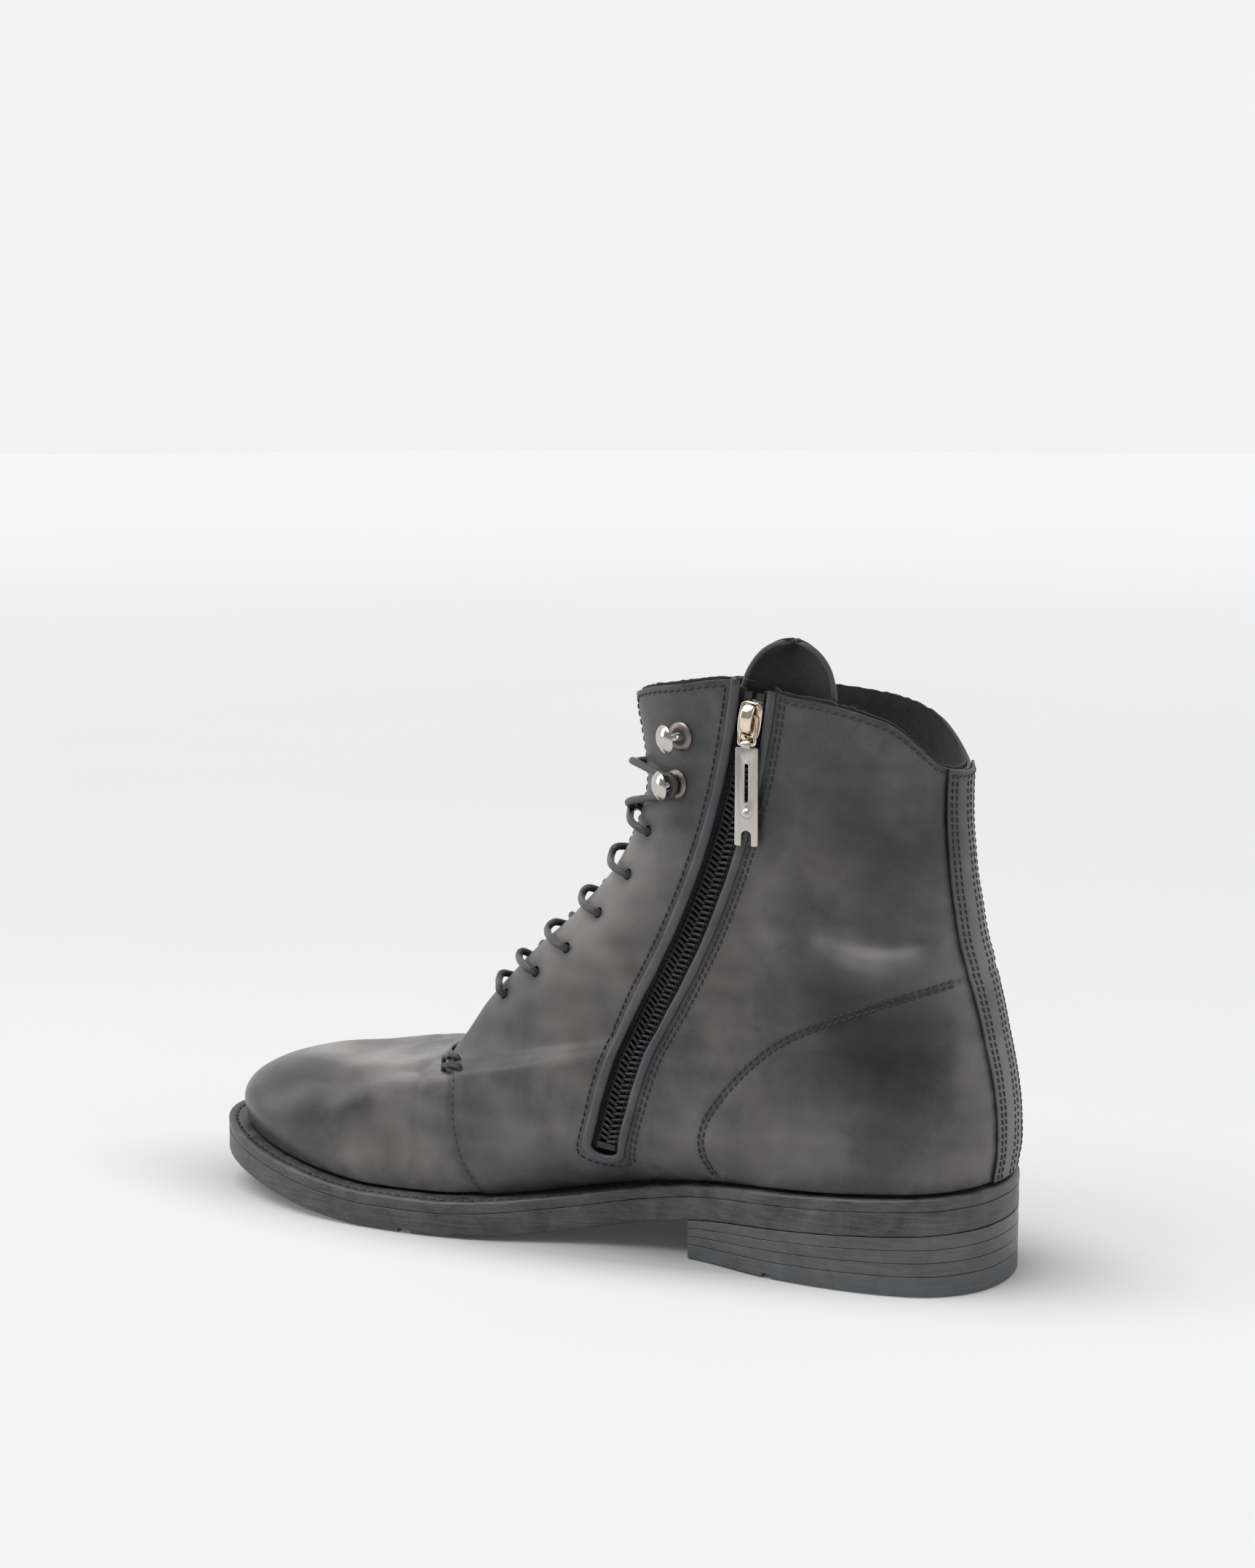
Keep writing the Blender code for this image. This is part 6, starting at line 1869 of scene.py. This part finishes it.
def paint(names, marks):
    """Writes the tone attribute, which leather() reads: above 0 is darker, burnish and painted shade along
    seams and edges; below 0 is lighter, painted highlights and uneven tone.
    """
    tree = KDTree(len(marks))
    for i, (p, _, _) in enumerate(marks):
        tree.insert(p, i)
    tree.balance()
    for name in names:
        obj = bpy.data.objects[name]
        mesh = obj.data
        co = np.empty(len(mesh.vertices) * 3, np.float32)
        mesh.vertices.foreach_get("co", co)
        p = co.reshape(-1, 3).astype(float) * 1000 + ORIGIN
        tone = 0.10 * waves(p, 26, 11) + 0.06 * waves(p, 9, 3)
        for at, radius, amount in PATCHES_AND_PAINTED_LIGHT:
            d = np.linalg.norm(p - np.array(at), axis=1)
            ragged = d * (1 + 0.16 * waves(p, 13, 6))
            tone = tone + amount * np.exp(-((ragged / radius) ** 2))
        dark = np.zeros(len(p))
        for i, q in enumerate(p):
            _, k, d = tree.find(q)
            _, amount, width = marks[k]
            dark[i] = amount * math.exp(-((d / width) ** 2))
        tone = np.clip(tone + dark * (0.8 + 0.3 * waves(p, 7, 9)), -1, 1)
        layer = mesh.attributes.new("tone", "FLOAT", "POINT")
        layer.data.foreach_set("value", tone.astype(np.float32))


# ---------------------------------------------------------------- studio
CAMERA_AT, CAMERA_AIM, CAMERA_LENS = (-0.912, -0.423, 0.312), (0.8988, 0.4096, -0.1564), 85.6
FLOOR_REACH = 6000
SHADOW_POOL_SIZE = (52, 152)  # half-axes of the ellipse under the boot where the floor's glow fades, a painted contact shadow
WALL_RADIUS, WALL_HEIGHT, WALL_STEPS = 5800, 9000, 40


def area(name, at, to, size, power):
    """A rectangular light in metres and watts, turned to a place."""
    data = bpy.data.lights.new(name, "AREA")
    data.shape, data.size, data.size_y = "RECTANGLE", size[0], size[1]
    data.energy = power
    obj = link(name, data)
    obj.location = at
    obj.rotation_euler = (Vector(to) - Vector(at)).to_track_quat("-Z", "Y").to_euler()


def make_studio():
    camera_data = bpy.data.cameras.new("camera")
    camera_data.sensor_fit, camera_data.sensor_width, camera_data.lens = "HORIZONTAL", 36.0, CAMERA_LENS
    camera_data.clip_start = 0.02
    camera = link("camera", camera_data)
    camera.location = CAMERA_AT
    camera.rotation_euler = Vector(CAMERA_AIM).to_track_quat("-Z", "Y").to_euler()
    bpy.context.scene.camera = camera

    f = Finish("studio_paper", 0.95, Specular_IOR_Level=0.0)
    tone = f.ramp(f.noise(300, 2), (0.3, (0.445, 0.445, 0.445)), (0.7, (0.455, 0.455, 0.455)))
    paper = f.done(tone, f.spread(f.noise(2, 3), 0.3, 0.7, 0.92, 0.98))
    node = f.nodes.new("ShaderNodeVectorMath")
    node.operation = "LENGTH"
    f.put(node.inputs[0], f.mm)
    # painted contact shadow: the floor's glow drops to a tenth in an ellipse under the boot and rises
    # smoothly to full across its edge
    near = f.nodes.new("ShaderNodeVectorMath")
    near.operation = "MULTIPLY"
    f.put(near.inputs[0], f.mm)
    near.inputs[1].default_value = (1 / SHADOW_POOL_SIZE[0], 1 / SHADOW_POOL_SIZE[1], 0)
    shadow_pool = f.nodes.new("ShaderNodeVectorMath")
    shadow_pool.operation = "LENGTH"
    f.put(shadow_pool.inputs[0], near.outputs[0])
    glow = f.spread(node.outputs["Value"], 500, 3500, 0.42, 0.56)
    painted_shadow = f.spread(shadow_pool.outputs["Value"], 0.85, 1.5, 0.1, math.pi / 2)
    glow = f.math("MULTIPLY", glow, f.math("SINE", painted_shadow))
    f.put(f.shader.inputs["Emission Strength"], glow)
    f.shader.inputs["Emission Color"].default_value = (1, 1, 1, 1)
    corners = [(FLOOR_REACH * x, FLOOR_REACH * y, 0) for x, y in ((-1, -1), (1, -1), (1, 1), (-1, 1))]
    floor = new_object("studio_floor", corners, [(0, 1, 2, 3)], paper)
    floor.location.z = -0.0002
    far = Finish("studio_wall", 1.0, Specular_IOR_Level=0.0, Emission_Strength=0.89)
    far.shader.inputs["Emission Color"].default_value = (1, 1, 1, 1)
    wall_paper = far.done(far.ramp(far.noise(900, 2), (0.3, (0.0, 0.0, 0.0)), (0.7, (0.004, 0.004, 0.004))))
    # two halves of a round wall, from one angle to another, of which reflections see only the back one
    for name, first, last, lit in (("back", -70, 115, True), ("front", 115, 290, False)):
        turn = np.radians(np.linspace(first, last, WALL_STEPS))
        ring = np.c_[np.cos(turn) * WALL_RADIUS, np.sin(turn) * WALL_RADIUS, np.zeros(WALL_STEPS)]
        ring = ring + ORIGIN * (1, 1, 0)
        points = np.concatenate([ring, ring + (0, 0, WALL_HEIGHT)])
        wall = new_object(f"studio_wall_{name}", points, grid_faces(2, WALL_STEPS), wall_paper)
        for key in ("visible_diffuse", "visible_transmission", "visible_shadow"):
            setattr(wall, key, False)
        wall.visible_glossy = lit
    world = bpy.data.worlds.new("world")
    world.use_nodes = True
    world.node_tree.nodes["Background"].inputs["Color"].default_value = (0.30, 0.305, 0.315, 1)
    bpy.context.scene.world = world
    bpy.context.scene.view_settings.view_transform = "Standard"
    sun = bpy.data.lights.new("broad_key", "SUN")
    sun.energy, sun.angle = 1.75, math.radians(50)
    key = link("broad_key", sun)
    key.rotation_euler = Vector((0.30, -0.34, -1.0)).to_track_quat("-Z", "Y").to_euler()
    area("top_softbox", (-0.20, 0.15, 0.85), (0, 0.02, 0.08), (0.5, 0.9), 1.5)
    area("left_softbox", (-0.45, 1.10, 0.55), (0, 0.05, 0.08), (0.5, 0.8), 2.6)
    area("heel_softbox", (-0.15, -1.05, 0.55), (0, -0.08, 0.1), (0.3, 0.8), 2.0)


def main():
    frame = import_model()
    make_studio()
    use = make_finishes()
    make_soles(use)
    make_quarters(use)
    make_vamp(use)
    make_back_strip(use)
    make_seams(use)
    make_tongue(use)
    make_zip(use)
    bridge = make_slider(use)
    make_pull(use, bridge)
    make_hooks(use)
    make_lace(use)
    make_bar_tacks(use)
    make_counter_parts(use, frame)
    paint(PAINTED, seam_shade_and_burnish())


main()
